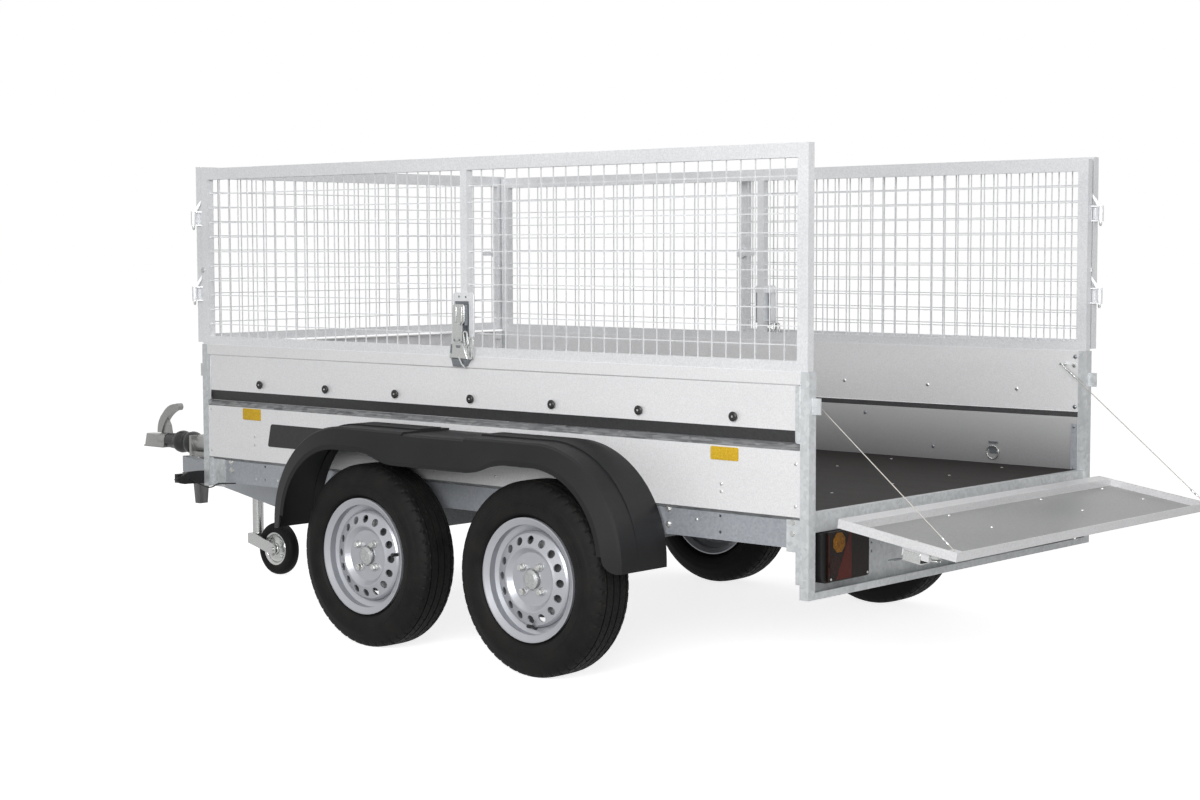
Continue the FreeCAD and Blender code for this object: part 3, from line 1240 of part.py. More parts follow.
def side_latches():
    """An over-centre latch on each mesh side: a windowed plate, its lever and its hook below."""
    pair = []
    for side, hand in SIDES.items():
        latch = new_body(f"side_latch_{side}", f"{TAIL} + sizes.side_latch_from_tail", f"{hand} * {HALF}",
                         "sizes.side_latch_low", alone=False)
        half, tall, corner = "sizes.side_latch_wide / 2", "sizes.side_latch_tall", "sizes.side_latch_corner"
        plate = sketch_on(latch, "XZ_Plane")
        shoulder, low_shoulder = f"{tall} - {corner}", "2 * sizes.lip_height"
        left, right = f"0 - {half} + {corner}", f"{half} - {corner}"
        outline(plate, [(left, "sizes.lip_height"), (right, "sizes.lip_height"), (half, low_shoulder),
                        (half, shoulder), (right, tall), (left, tall), (f"0 - {half}", shoulder),
                        (f"0 - {half}", low_shoulder)])
        low, wide = "sizes.side_latch_window_low", "sizes.side_latch_window_wide / 2"
        rectangle(plate, f"0 - {wide}", low, wide, f"{low} + sizes.side_latch_window_tall")
        out = hand > 0
        pad(latch, plate, "sizes.side_latch_lever_out / 2", reverse=out)
        lever = sketch_on(latch, "XZ_Plane")
        grip = "sizes.side_latch_lever / 2"
        rectangle(lever, f"0 - {grip}", f"{low} - sizes.plate", grip,
                  f"{low} + sizes.side_latch_window_tall - sizes.plate")
        pad(latch, lever, "sizes.side_latch_lever_out", reverse=out)
        hook = sketch_on(latch, "XZ_Plane", f"{-hand} * sizes.fit * 20")
        rectangle(hook, f"0 - {grip}", "0", grip, "sizes.side_latch_hook_tall + sizes.side_latch_corner")
        pad(latch, hook, "sizes.side_latch_hook_out - 20 * sizes.fit", reverse=out)
        pair.append(latch)
    grouped("side_latches", pair)


def marker_lamps():
    """A rubber arm out from the foot of each front post, with a small lamp on its front."""
    face = num(f"{TAIL} + sizes.body_length")
    edges = [arc(*ARM[0:3]), line(ARM[2], ARM[3]), arc(*ARM[3:6]), line(ARM[5], ARM[6]),
             line(ARM[6], ARM[0])]
    thick = s("marker_thick")
    pair = []
    for side, hand in SIDES.items():
        arm = face_of(edges).extrude(Vector(0, thick, 0))
        front = thick if hand < 0 else -s("marker_out")
        lens = Part.makeBox(s("marker_long"), s("marker_out"), s("marker_tall"),
                            Vector(s("marker_from_root"), front, s("marker_up")))
        whole = arm.fuse(lens)
        whole.rotate(Vector(), Vector(0, 0, 1), 90 * hand)
        start = face + thick if hand > 0 else face
        root = num(f"{HALF} - sizes.post_width + sizes.marker_root")
        whole.translate(Vector(start, hand * root, s("marker_low")))
        pair.append(whole)
    shaped("marker_lamps", Part.makeCompound(pair))


# A marker lamp's cable: back from the body's front face, out from its side, up from the post's foot
FEED = ((-2.5, 61, 27), (-2.5, 19, 5), (-18, 1, -6), (-38, -6, -4), (-62, -10, 10), (-108, -10, 13.5),
        (-145, -24, 15.5))


def cable(points, radius):
    """A round cable along straight runs joined by tangent arcs, each as wide as its runs allow."""
    path, start = [], points[0]
    for before, corner, after in zip(points, points[1:], points[2:]):
        back, ahead = before - corner, after - corner
        half_turn = (math.pi - back.getAngle(ahead)) / 2
        reach = 0.45 * min(back.Length, ahead.Length)
        bend = reach / math.tan(half_turn)
        print(f"cable bend radius {bend:.1f} mm")
        back.normalize()
        ahead.normalize()
        first, last = corner + back * reach, corner + ahead * reach
        inside = (back + ahead).normalize()
        path.append(Part.LineSegment(start, first).toShape())
        path.append(Part.Arc(first, corner + inside * (bend / math.cos(half_turn) - bend), last).toShape())
        start = last
    path.append(Part.LineSegment(start, points[-1]).toShape())
    section = Part.Wire(Part.makeCircle(radius, points[0], points[1] - points[0]))
    return Part.Wire(path).makePipeShell([section], True, False)


def feed_cables():
    """The thin cable of each marker lamp, sagging past the post's foot and back under the side rail."""
    face, half, foot = num(f"{TAIL} + sizes.body_length"), num(HALF), s("front_post_foot")
    pair = []
    for hand in SIDES.values():
        points = [Vector(face + x, hand * (half + y), foot + z) for x, y, z in FEED]
        pair.append(cable(points, s("feed_radius")))
    shaped("feed_cables", Part.makeCompound(pair))


def lamps():
    """The rear light clusters on their crossbar, and the amber reflectors on the boards."""
    inside = f"({HALF} - sizes.post_width)"
    back, front = f"{TAIL}", f"({TAIL} + sizes.crossbar_width)"
    bar = new_body("rear_crossbar", back, "0", "sizes.rear_post_foot")
    section = sketch_on(bar, "XZ_Plane")
    wall, wide = "sizes.post_wall", "sizes.crossbar_width"
    outline(section, [("0", "0"), (wide, "0"), (wide, "sizes.rail_bottom - sizes.rear_post_foot"),
                      (f"{wide} - {wall}", "sizes.rail_bottom - sizes.rear_post_foot"),
                      (f"{wide} - {wall}", wall), (wall, wall), (wall, "sizes.crossbar_height"),
                      ("0", "sizes.crossbar_height")])
    pad(bar, section, f"2 * {inside}", middle=True)
    holes = sketch_on(bar, "YZ_Plane", f"{wide} - 2 * {wall}")
    for hand in (1, -1):
        for across, up in PERFORATION:
            circle(holes, f"{hand} * (sizes.plate_holes_in + {across})", f"sizes.plate_holes_up + {up}",
                   "sizes.plate_hole")
    pocket(bar, holes, f"3 * {wall}", reverse=True)
    clusters = []
    for side, hand in SIDES.items():
        edges = sorted((f"{hand} * ({inside} - sizes.lamp_inset)",
                        f"{hand} * ({inside} - sizes.lamp_inset - sizes.lamp_width)"), key=num)
        low = "(sizes.rear_post_foot + sizes.lamp_up)"
        clusters.append(block(f"tail_lamp_{side}", (f"{front} - {wall} - sizes.lamp_depth", edges[0], low),
                              (f"{front} - {wall}", edges[1], f"{low} + sizes.lamp_height")))
    grouped("tail_lamps", clusters)
    face = f"({HALF} - sizes.board_face_inset)"
    pieces = []
    low = f"({FLOOR} + sizes.reflector_above)"
    for end, centre in (("rear", "sizes.reflector_in"),
                        ("front", "(sizes.body_length - sizes.reflector_in)")):
        for side, hand in SIDES.items():
            y = sorted((f"{hand} * {face}", f"{hand} * ({face} + sizes.reflector_thick)"), key=num)
            pieces.append(block(f"reflector_{end}_{side}",
                                (f"{TAIL} + {centre} - sizes.reflector_length / 2", y[0], low),
                                (f"{TAIL} + {centre} + sizes.reflector_length / 2", y[1],
                                 f"{low} + sizes.reflector_height")))
    grouped("side_reflectors", pieces)


def gate_stays():
    """The two thin cables that hold the tailgate level."""
    turn = math.radians(90 + s("gate_droop"))
    pin_x, pin_z = num(f"{TAIL} - sizes.gate_pin_out"), s("gate_pin_height")
    up = num(f"{GATE_FOOT} - sizes.gate_pin_height + {GATE_TALL}") - s("stay_from_edge")
    out = num("sizes.gate_pin_out + sizes.gate_set_in + sizes.gate_thick")
    eye = Vector(pin_x + out * math.cos(turn) - up * math.sin(turn), 0,
                 pin_z + out * math.sin(turn) + up * math.cos(turn))
    hook = Vector(num(f"{TAIL} + sizes.stay_ahead"), 0, num(f"{BOARD_TOP} - sizes.stay_below"))
    along = (hook - eye).normalize()
    low = eye + along * (s("stay_radius") + 4 * s("fit"))
    run = hook - along * (s("hook_radius") + s("fit")) - low
    hooks, cables = [], []
    for side, hand in SIDES.items():
        y = hand * num(f"{GATE_HALF} - sizes.stay_in")
        cable = Part.makeCylinder(s("stay_radius"), run.Length, Vector(), run)
        cable.translate(Vector(low.x, y, low.z))
        cables.append(cable)
        face = f"{hand} * ({HALF} - sizes.board_face_inset - sizes.board_thick)"
        hooks.append(rod(f"stay_hook_{side}", "sizes.hook_radius", "sizes.hook_length",
                         (f"{TAIL} + sizes.stay_ahead", face, f"{BOARD_TOP} - sizes.stay_below"),
                         Rotation(Vector(1, 0, 0), 90 * hand)))
    shaped("tailgate_stays", Part.makeCompound(cables))
    grouped("stay_hooks", hooks)


for build in (floor_and_rails, posts, side_boards, mesh_sides, drop_gates, running_gear, mudguards,
              drawbar, overrun, jockey_wheel, side_latches, marker_lamps, feed_cables, lamps, gate_stays):
    build()
doc.recompute()
for item in doc.Objects:
    if "Invalid" in item.State or "Error" in item.State:
        raise RuntimeError(f"{item.Label} failed to rebuild")
for piece in sub_parts:
    if piece.Shape.isNull() or not piece.Shape.isValid():
        raise RuntimeError(f"{piece.Label} has no valid shape")
for piece in sub_parts:
    piece.Shape.exportStep(f"parts/{piece.Label}.step")
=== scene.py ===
import math
import random

import bmesh
import bpy
from mathutils import Matrix, Vector


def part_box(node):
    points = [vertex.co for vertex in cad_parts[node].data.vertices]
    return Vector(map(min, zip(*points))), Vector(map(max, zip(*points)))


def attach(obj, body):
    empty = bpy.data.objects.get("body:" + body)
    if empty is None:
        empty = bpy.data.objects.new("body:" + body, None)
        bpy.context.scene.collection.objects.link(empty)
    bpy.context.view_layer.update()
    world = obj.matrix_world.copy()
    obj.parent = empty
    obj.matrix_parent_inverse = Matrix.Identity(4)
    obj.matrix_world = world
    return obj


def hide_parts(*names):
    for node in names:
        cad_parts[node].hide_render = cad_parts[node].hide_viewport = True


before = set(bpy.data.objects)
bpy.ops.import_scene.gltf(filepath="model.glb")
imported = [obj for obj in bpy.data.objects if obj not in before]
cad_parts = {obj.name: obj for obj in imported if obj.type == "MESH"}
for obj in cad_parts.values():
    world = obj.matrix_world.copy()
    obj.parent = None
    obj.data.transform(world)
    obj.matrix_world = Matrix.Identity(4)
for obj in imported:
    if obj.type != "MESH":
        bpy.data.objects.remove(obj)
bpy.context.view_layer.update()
random.seed(7)

# Ladder frame: C-section side rails, boxed end rails and channel bearers under the floor.
# Folded from sheet steel and hot-dip galvanised, so the zinc shows soft crystals and clouds.
# The rails are fixed to the posts and brackets with zinc-plated hexagon bolts.
X, Y, Z = Vector((1, 0, 0)), Vector((0, 1, 0)), Vector((0, 0, 1))
HANDS = {"left": 1, "right": -1}
BOTH = tuple(HANDS.values())
POST_WIDE = 0.03
SHARP_FROM, BEVEL_FROM = 32, 40
board_low, board_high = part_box("upper_board_left")
tail = board_low.x - POST_WIDE
nose = board_high.x + POST_WIDE
rail_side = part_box("side_rail_left")[1].y
FRAME_GREY, FRAME_DARK = (0.4, 0.42, 0.45), (0.3, 0.32, 0.35)
DIP_GREY, DIP_DARK = (0.63, 0.65, 0.66), (0.47, 0.49, 0.5)


def new_finish(name, colour, metallic, roughness, specular=0.5, coat=0.0):
    """A material with one shader, its plain values set on the shader's own sockets."""
    made = bpy.data.materials.new(name)
    made.use_nodes = True
    shader = made.node_tree.nodes["Principled BSDF"]
    shader.inputs["Base Color"].default_value = (*colour, 1)
    shader.inputs["Metallic"].default_value = metallic
    shader.inputs["Roughness"].default_value = roughness
    shader.inputs["Specular IOR Level"].default_value = specular
    shader.inputs["Coat Weight"].default_value = coat
    return made, made.node_tree, shader


def texture(tree, kind, scale, stretch=(1, 1, 1), detail=2.0):
    """A solid texture in the object's own metres, drawn out along one direction if stretched."""
    place = tree.nodes.new("ShaderNodeTexCoord")
    size = tree.nodes.new("ShaderNodeMapping")
    size.inputs["Scale"].default_value = stretch
    tree.links.new(place.outputs["Object"], size.inputs["Vector"])
    made = tree.nodes.new(f"ShaderNodeTex{kind}")
    made.inputs["Scale"].default_value = scale
    if kind == "Noise":
        made.inputs["Detail"].default_value = detail
    tree.links.new(size.outputs["Vector"], made.inputs["Vector"])
    return made.outputs["Color" if kind == "Voronoi" else "Fac"]


def tones(tree, shader, value, dark, pale, low=0.3, high=0.7):
    """Colour the shader between two tones by a texture's value."""
    ramp = tree.nodes.new("ShaderNodeValToRGB")
    for end, spot, colour in zip(ramp.color_ramp.elements, (low, high), (dark, pale)):
        end.position = spot
        end.color = (*colour, 1)
    tree.links.new(value, ramp.inputs["Fac"])
    tree.links.new(ramp.outputs["Color"], shader.inputs["Base Color"])


def spread(tree, value, low, high):
    """Stretch a value from 0 to 1 between two numbers."""
    span = tree.nodes.new("ShaderNodeMapRange")
    span.inputs["To Min"].default_value = low
    span.inputs["To Max"].default_value = high
    tree.links.new(value, span.inputs["Value"])
    return span.outputs["Result"]


def raised(tree, shader, value, depth, strength):
    """Fine relief, by bump, from a texture's value; depth in metres."""
    bump = tree.nodes.new("ShaderNodeBump")
    bump.inputs["Distance"].default_value = depth
    bump.inputs["Strength"].default_value = strength
    tree.links.new(value, bump.inputs["Height"])
    tree.links.new(bump.outputs["Normal"], shader.inputs["Normal"])


def mixed(tree, first, second, share):
    """Two texture values in one, by share of the second."""
    blend = tree.nodes.new("ShaderNodeMix")
    blend.inputs["Factor"].default_value = share
    tree.links.new(first, blend.inputs["A"])
    tree.links.new(second, blend.inputs["B"])
    return blend.outputs["Result"]


def grained(name, colour, metallic, roughness, grains, shares, tints, span=(0.3, 0.7), gloss=None,
            relief=None, specular=0.5, coat=0.0):
    """A finish whose tone and gloss wander with textures, each mixed in by its share, over fine relief."""
    made, tree, shader = new_finish(name, colour, metallic, roughness, specular, coat)
    value = texture(tree, *grains[0])
    for share, grain in zip(shares, grains[1:]):
        value = mixed(tree, value, texture(tree, *grain), share)
    tones(tree, shader, value, *tints, *span)
    if gloss:
        tree.links.new(spread(tree, value, *gloss), shader.inputs["Roughness"])
    if relief:
        raised(tree, shader, texture(tree, *relief[:2]), *relief[2:])
    return made


def zinc(name, pale, dark, crystal, metallic, gloss, streak=(1, 1, 1)):
    """Galvanised steel: crystals of zinc in slightly different greys under broad soft clouds."""
    return grained(name, pale, metallic, gloss[0], [("Voronoi", crystal), ("Noise", 7, streak, 4)], (0.55,),
                   (dark, pale), (0.25, 0.72), gloss, ("Noise", 420, 0.0004, 0.5))


def wear(finish, *nodes):
    """Give CAD nodes their finish."""
    for mesh in (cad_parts[node].data for node in nodes):
        for k in range(len(mesh.materials)):
            mesh.materials[k] = finish
        if not mesh.materials:
            mesh.materials.append(finish)


def put(name, data):
    """A new object in the scene."""
    made = bpy.data.objects.new(name, data)
    bpy.context.scene.collection.objects.link(made)
    return made


def new_piece(name, mesh, finish, body="chassis", edge=0.0, sharp=SHARP_FROM):
    """Close a mesh, finish it, let it ride on a body and, if it is a pressing, round its edges."""
    bmesh.ops.recalc_face_normals(mesh, faces=mesh.faces)
    data = bpy.data.meshes.new(name)
    mesh.to_mesh(data)
    mesh.free()
    data.materials.append(finish)
    data.polygons.foreach_set("use_smooth", [True] * len(data.polygons))
    data.set_sharp_from_angle(angle=math.radians(sharp))
    piece = put(name, data)
    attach(piece, body)
    if edge:
        bevel = piece.modifiers.new("edges", "BEVEL")
        bevel.width = edge
        bevel.segments = 2
        bevel.limit_method = "ANGLE"
        bevel.angle_limit = math.radians(BEVEL_FROM)
    return piece


def turn(mesh, profile, centre, axis, sides=20, start=0.0):
    """Turn a profile of (radius, height) pairs about an axis through a centre."""
    aim = Vector(axis).to_track_quat("Z", "Y").to_matrix()
    rings = []
    for radius, height in profile:
        count = sides if radius > 1e-6 else 1
        ring = []
        for k in range(count):
            angle = start + 2 * math.pi * k / sides
            spot = Vector((radius * math.cos(angle), radius * math.sin(angle), height))
            ring.append(mesh.verts.new(Vector(centre) + aim @ spot))
        rings.append(ring)
    for lower, upper in zip(rings, rings[1:]):
        for k in range(sides):
            following = (k + 1) % sides
            corners = [lower[k % len(lower)], lower[following % len(lower)],
                       upper[following % len(upper)], upper[k % len(upper)]]
            unique = list(dict.fromkeys(corners))
            if len(unique) > 2:
                mesh.faces.new(unique)


def hex_bolt(mesh, centre, axis, across=0.013, tall=0.0055):
    """A hexagon head with its chamfered top, on a plain washer."""
    radius = across / math.sqrt(3)
    washer = tall * 0.3
    under = washer * 0.8
    turn(mesh, [(0, 0), (radius * 1.35, 0), (radius * 1.35, washer), (radius * 0.9, washer)], centre, axis)
    head = [(0, under), (radius, under), (radius, tall * 1.1), (radius * 0.84, tall * 1.3), (0, tall * 1.3)]
    turn(mesh, head, centre, axis, 6, random.uniform(0, 1))


def rivet(mesh, centre, axis, radius=0.0045):
    """A domed rivet head with its small centre dimple."""
    form = ((0, 0), (1, 0), (0.94, 0.28), (0.6, 0.5), (0.28, 0.52), (0.22, 0.38), (0, 0.36))
    turn(mesh, [(radius * out, radius * up) for out, up in form], centre, axis, 14)


frame_zinc = zinc("frame_zinc", FRAME_GREY, FRAME_DARK, 160, 0.45, (0.38, 0.55), (0.4, 1, 1))
dip_zinc = zinc("dip_zinc", DIP_GREY, DIP_DARK, 90, 0.4, (0.34, 0.5), (1, 1, 0.35))
wear(frame_zinc, "side_rail_left", "side_rail_right", "floor_bearers")
wear(dip_zinc, "rear_cross_rail", "front_cross_rail", "rear_crossbar")
bolt_zinc = grained("bolt_zinc", (0.6, 0.61, 0.6), 0.85, 0.3, [("Noise", 300)], (),
                    ((0.5, 0.5, 0.47), (0.66, 0.67, 0.67)))
rail_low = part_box("side_rail_left")[0].z
BOLT_PAIRS = ((0.063, 0.071, 0.04), (0.503, 0.073, 0.028), (2.487, 0.072, 0.043))
RAIL_RIVETS = ((2.352, 0.021), (2.236, 0.024), (1.98, 0.022), (0.62, 0.024), (0.4, 0.05))
bolts = bmesh.new()
for hand in BOTH:
    for along, upper, lower in BOLT_PAIRS:
        for up in (upper, lower):
            hex_bolt(bolts, (tail + along, hand * rail_side, rail_low + up), hand * Y)
    for along, up in RAIL_RIVETS:
        rivet(bolts, (tail + along, hand * rail_side, rail_low + up), hand * Y)
new_piece("frame_bolts", bolts, bolt_zinc)

# Floor: one sheet of film-faced plywood, dark brown on top, dropped between the boards.
# Birch veneers bonded with phenolic film, screwed down to the bearers from above.
FILM_PALE, FILM_DARK = (0.019, 0.016, 0.0145), (0.011, 0.009, 0.008)
floor_low, floor_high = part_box("floor_board")
floor_film = grained("floor_film", FILM_PALE, 0, 0.5, [("Noise", 5, (1, 6, 1), 6), ("Noise", 240)], (0.35,),
                     (FILM_DARK, FILM_PALE), (0.35, 0.65), (0.45, 0.62), ("Voronoi", 260, 0.0003, 0.35), 0.1)
wear(floor_film, "floor_board")
SCREW_ROWS, SCREWS_ACROSS, SCREW_SPACING = 6, 5, 0.31
FLOOR_SCREW = [(0, 0.0002), (0.0048, 0.0002), (0.0042, 0.001), (0.0016, 0.0012), (0, 0.0004)]
screws = bmesh.new()
for row in range(SCREW_ROWS):
    x = floor_low.x + (row + 0.5) * (floor_high.x - floor_low.x) / SCREW_ROWS
    for k in range(SCREWS_ACROSS):
        y = (k - SCREWS_ACROSS // 2) * SCREW_SPACING
        turn(screws, FLOOR_SCREW, (x, y, floor_high.z), Z, 12)
new_piece("floor_screws", screws, bolt_zinc)

# Side boards: two roll-formed panels on each side, with a V-groove between them and a lip on top.
# Bright pre-galvanised sheet with a fine even spangle, riveted to the posts.
# Black knobs for a cover's cord stand in a row along the upper board.
SHEET_PALE, SHEET_DARK = (0.8, 0.8, 0.81), (0.69, 0.69, 0.7)
KNOB_XS = (0.254, 0.597, 0.938, 1.281, 1.622, 1.96, 2.3)
KNOB_LEVEL, KNOB_RADIUS = 0.785, 0.0135
sheet_zinc = grained("sheet_zinc", SHEET_PALE, 0.25, 0.45,
                     [("Voronoi", 330), ("Noise", 600, (1, 1, 1), 3), ("Noise", 3, (0.5, 1, 2), 3)],
                     (0.5, 0.25), (SHEET_DARK, SHEET_PALE), (0.3, 0.66), (0.36, 0.5),
                     ("Voronoi", 330, 0.0002, 0.3))
for level in ("lower", "upper"):
    for side in HANDS:
        wear(sheet_zinc, f"{level}_board_{side}")
board_inner, board_side = (corner.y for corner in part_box("lower_board_left"))
knob_black = grained("knob_black", (0.018, 0.018, 0.019), 0, 0.38, [("Noise", 500)], (),
                     ((0.012, 0.012, 0.013), (0.026, 0.026, 0.027)), specular=0.35)
KNOB = [(0, 0), (0.0075, 0), (0.0075, 0.004), (0.0095, 0.006), (KNOB_RADIUS, 0.007), (KNOB_RADIUS, 0.0105),
        (0.0112, 0.0125), (0.0085, 0.0132), (0.0052, 0.0126), (0.0048, 0.0105), (0, 0.0105)]
KNOB_SCREW = [(0, 0.0106), (0.0034, 0.0106), (0.003, 0.0126), (0.0012, 0.0127), (0.001, 0.0115),
              (0, 0.0115)]
PANEL_RIVETS = ((0.045, 0.667), (0.045, 0.553), (0.3, 0.596), (0.3, 0.575), (2.576, 0.69),
                (2.576, 0.548), (2.338, 0.608), (2.338, 0.578), (1.18, 0.553), (1.45, 0.553))
knobs, knob_screws, rivets = (bmesh.new() for k in range(3))
for hand in BOTH:
    for x in KNOB_XS:
        spot = (tail + x, hand * board_side, KNOB_LEVEL)
        turn(knobs, KNOB, spot, hand * Y, 26)
        turn(knob_screws, KNOB_SCREW, spot, hand * Y, 12)
        rivet(rivets, (tail + x, hand * board_inner, KNOB_LEVEL), -hand * Y, 0.0065)
    for x, z in PANEL_RIVETS:
        rivet(rivets, (tail + x, hand * board_side, z), hand * Y, 0.005)
new_piece("cover_knobs", knobs, knob_black)
new_piece("knob_screws", knob_screws, bolt_zinc)
new_piece("board_rivets", rivets, bolt_zinc)

# Flange strips: the upturned ends of the boards' frames, seen as a narrow upright band by each post.
# Galvanised steel with a rounded lower corner, lying over the groove between the boards.
STRIP_WIDE, STRIP_THICK, STRIP_CORNER = 0.016, 0.003, 0.008
STRIP_LOW, LIP_TALL = 0.722, 0.038


def stand(at, across, up, out):
    """The place of a flat pressing: its origin, and where its width, height and thickness point."""
    return Matrix.Translation(at) @ Matrix((across, up, out)).transposed().to_4x4()


def press(mesh, outline, thick, place, lift=0.0):
    """A flat pressing: an outline of (across, up) pairs with a thickness, set in its place."""
    rings = []
    for depth in (lift, lift + thick):
        rings.append([mesh.verts.new(place @ Vector((across, up, depth))) for across, up in outline])
    mesh.faces.new(rings[0])
    mesh.faces.new(list(reversed(rings[1])))
    count = len(outline)
    for k in range(count):
        following = (k + 1) % count
        mesh.faces.new([rings[0][k], rings[0][following], rings[1][following], rings[1][k]])


def rounded(width, height, radius, steps=5, left=0.0, low=0.0):
    """A rectangle with round corners, as (across, up) pairs."""
    points = []
    corners = ((width - radius, height - radius), (radius, height - radius), (radius, radius),
               (width - radius, radius))
    for quarter, (cx, cy) in enumerate(corners):
        for k in range(steps + 1):
            angle = math.pi / 2 * (quarter + k / steps)
            points.append((left + cx + radius * math.cos(angle), low + cy + radius * math.sin(angle)))
    return points


def oblong(left, right, low, high):
    """A rectangle with square corners, as (across, up) pairs."""
    return [(left, low), (right, low), (right, high), (left, high)]


def corner_arc(right, low, radius, steps):
    """The arc of a round lower right corner, from its foot up, as (across, up) pairs."""
    angles = [math.pi / 2 * (k / steps - 1) for k in range(steps + 1)]
    return [(right - radius * (1 - math.cos(a)), low + radius * (1 + math.sin(a))) for a in angles]


strips = bmesh.new()
tall = board_high.z - LIP_TALL - STRIP_LOW
outline = [(0, tall), (0, 0), *corner_arc(STRIP_WIDE, 0, STRIP_CORNER, 5), (STRIP_WIDE, tall)]
for hand in BOTH:
    for start, way in ((tail + POST_WIDE, 1), (nose - POST_WIDE, -1)):
        place = stand((start, hand * board_side, STRIP_LOW), way * X, Z, hand * Y)
        press(strips, outline, STRIP_THICK, place)
new_piece("post_flanges", strips, dip_zinc, edge=0.0008)

# Groove slopes: the two slanted folds of the boards that meet in the V-groove between them.
# The upper fold is covered by a thin near-black skin, painted shade on its downward-facing slope; the lower
# one is zinc with drawn-out streaks, darkened by painted shade and a painted reflection of the dark upper
# fold.
GROOVE_DEEP, GROOVE_PROUD, GROOVE_SUNK = 0.018, 0.0005, 0.0003
UPPER_SLOPE = ((0.0, 0.757), (-GROOVE_DEEP, 0.7225))
LOWER_SLOPE = ((-GROOVE_DEEP, 0.72), (0.0, 0.703))
# Painted shade: the upper slope's near-black skin and the lower slope's dark streaked zinc stand in for the
# groove's shadow.
groove_shade_paint = grained("groove_shade_paint", (0.052, 0.052, 0.054), 0, 0.6, [("Noise", 90)], (),
                      ((0.046, 0.046, 0.048), (0.058, 0.058, 0.06)), specular=0.25)
groove_zinc_painted_shade = grained("groove_zinc_painted_shade", (0.2, 0.2, 0.21), 0.3, 0.5,
                      [("Noise", 45, (0.25, 1, 5), 5), ("Voronoi", 130, (0.3, 1, 1))], (0.3,),
                      ((0.11, 0.115, 0.12), (0.36, 0.365, 0.37)), (0.3, 0.72))
for name, finish, slope in (("upper_groove_shade_skins", groove_shade_paint, UPPER_SLOPE),
                            ("groove_folds", groove_zinc_painted_shade, LOWER_SLOPE)):
    bands = bmesh.new()
    top, foot = (Vector((board_side + out, up)) for out, up in slope)
    face = Vector((top.y - foot.y, foot.x - top.x)).normalized()
    section = [top + face * GROOVE_PROUD, foot + face * GROOVE_PROUD,
               foot - face * GROOVE_SUNK, top - face * GROOVE_SUNK]
    for hand in BOTH:
        press(bands, section, board_high.x - board_low.x, stand((board_low.x, 0, 0), hand * Y, Z, X))
    new_piece(name, bands, finish)

# Name plate: a black plate on the lower board at the front, left blank.
# Printed aluminium sheet with rounded corners and a slanted rear edge, glued to the board.
PLATE_LOW, PLATE_TALL, PLATE_THICK = 0.577, 0.077, 0.0012
PLATE_FRONT, PLATE_SLANT, PLATE_LONG = 2.268, 0.018, 0.36
PLATE_CORNER = 0.008
plate_black = grained("plate_black", (0.012, 0.012, 0.013), 0, 0.3, [("Noise", 60)], (),
                      ((0.009, 0.009, 0.01), (0.016, 0.016, 0.017)))
plates = bmesh.new()
outline = [(across + PLATE_SLANT * up / PLATE_TALL, up)
           for across, up in rounded(PLATE_LONG, PLATE_TALL, PLATE_CORNER)]
for hand in BOTH:
    press(plates, outline, PLATE_THICK,
          stand((tail + PLATE_FRONT, hand * board_side, PLATE_LOW), -X, Z, hand * Y))
new_piece("blank_name_plates", plates, plate_black)

# Corner posts: square tubes at the four corners, with keepers for the gates' latches.
# Hot-dip galvanised, capped by the mesh sides' frames above.
wear(dip_zinc, "rear_posts", "front_posts")

# Mesh sides and mesh gates: folded steel frames filled with welded wire.
# Electro-galvanised bright, the wires 50 mm apart, with pinned hinges at two corners.
MESH_PALE, MESH_DARK = (0.8, 0.81, 0.82), (0.66, 0.67, 0.69)
mesh_zinc = zinc("mesh_zinc", MESH_PALE, MESH_DARK, 260, 0.3, (0.32, 0.46), (0.3, 0.3, 1))
wear(mesh_zinc, "mesh_left", "mesh_right", "rear_mesh_gate", "front_mesh_gate")

# Drop gates: the lowered tailgate and the shut front gate, folded sheet pans with turned-in rims.
# Galvanised like the boards and hinged on three pins along the foot; two stays carry the tailgate.
GATE_PALE, GATE_DARK = (0.74, 0.74, 0.75), (0.64, 0.64, 0.65)
gate_zinc = grained("gate_zinc", GATE_PALE, 0.35, 0.42, [("Voronoi", 300), ("Noise", 5, (1, 0.6, 1), 4)],
                    (0.5,), (GATE_DARK, GATE_PALE), (0.28, 0.68), (0.3, 0.46), ("Voronoi", 300, 0.0002, 0.3))
wear(gate_zinc, "tailgate", "front_gate")

# Running gear: two rubber-sprung axles, their trailing arms, brake drums and hubs.
# The tubes are galvanised, their zinc darkened with painted shade as they lie in shadow under the floor; the
# drums are zinc-plated castings.
axle_zinc = zinc("axle_zinc", (0.36, 0.37, 0.38), (0.22, 0.23, 0.24), 140, 0.4, (0.42, 0.6))
drum_zinc = zinc("drum_zinc", (0.56, 0.57, 0.57), (0.4, 0.41, 0.41), 260, 0.8, (0.26, 0.42))
for end in ("front", "rear"):
    wear(axle_zinc, f"{end}_axle")
    for side in HANDS:
        wear(drum_zinc, f"hub_{end}_{side}")

# Wheels: pressed steel rims with sixteen round vents, sprayed silver, with radial tyres.
# Each is held by four zinc-plated bolts on a 100 mm circle; a black rubber valve stands in the well.
RIM_PALE, RIM_DARK = (0.46, 0.47, 0.5), (0.4, 0.41, 0.44)
BOLT_RING, BOLT_FACE, FIRST_BOLT = 0.05, 0.046, 40
BOLT_SEAT = [(0, 0), (0.0125, 0), (0.012, 0.003), (0.01, 0.0055), (0.0092, 0.0055)]
BOLT_HEAD = [(0, 0.005), (0.0098, 0.005), (0.0098, 0.015), (0.008, 0.0172), (0.0035, 0.0172),
             (0.003, 0.016), (0, 0.016)]
VALVE_RING, VALVE_OUT, VALVE_LEAN = 0.1445, 0.03, 0.28
VALVE = [(0, 0), (0.0075, 0), (0.007, 0.006), (0.0052, 0.012), (0.005, 0.024), (0.0056, 0.025),
         (0.0056, 0.037), (0.0045, 0.039), (0, 0.039)]
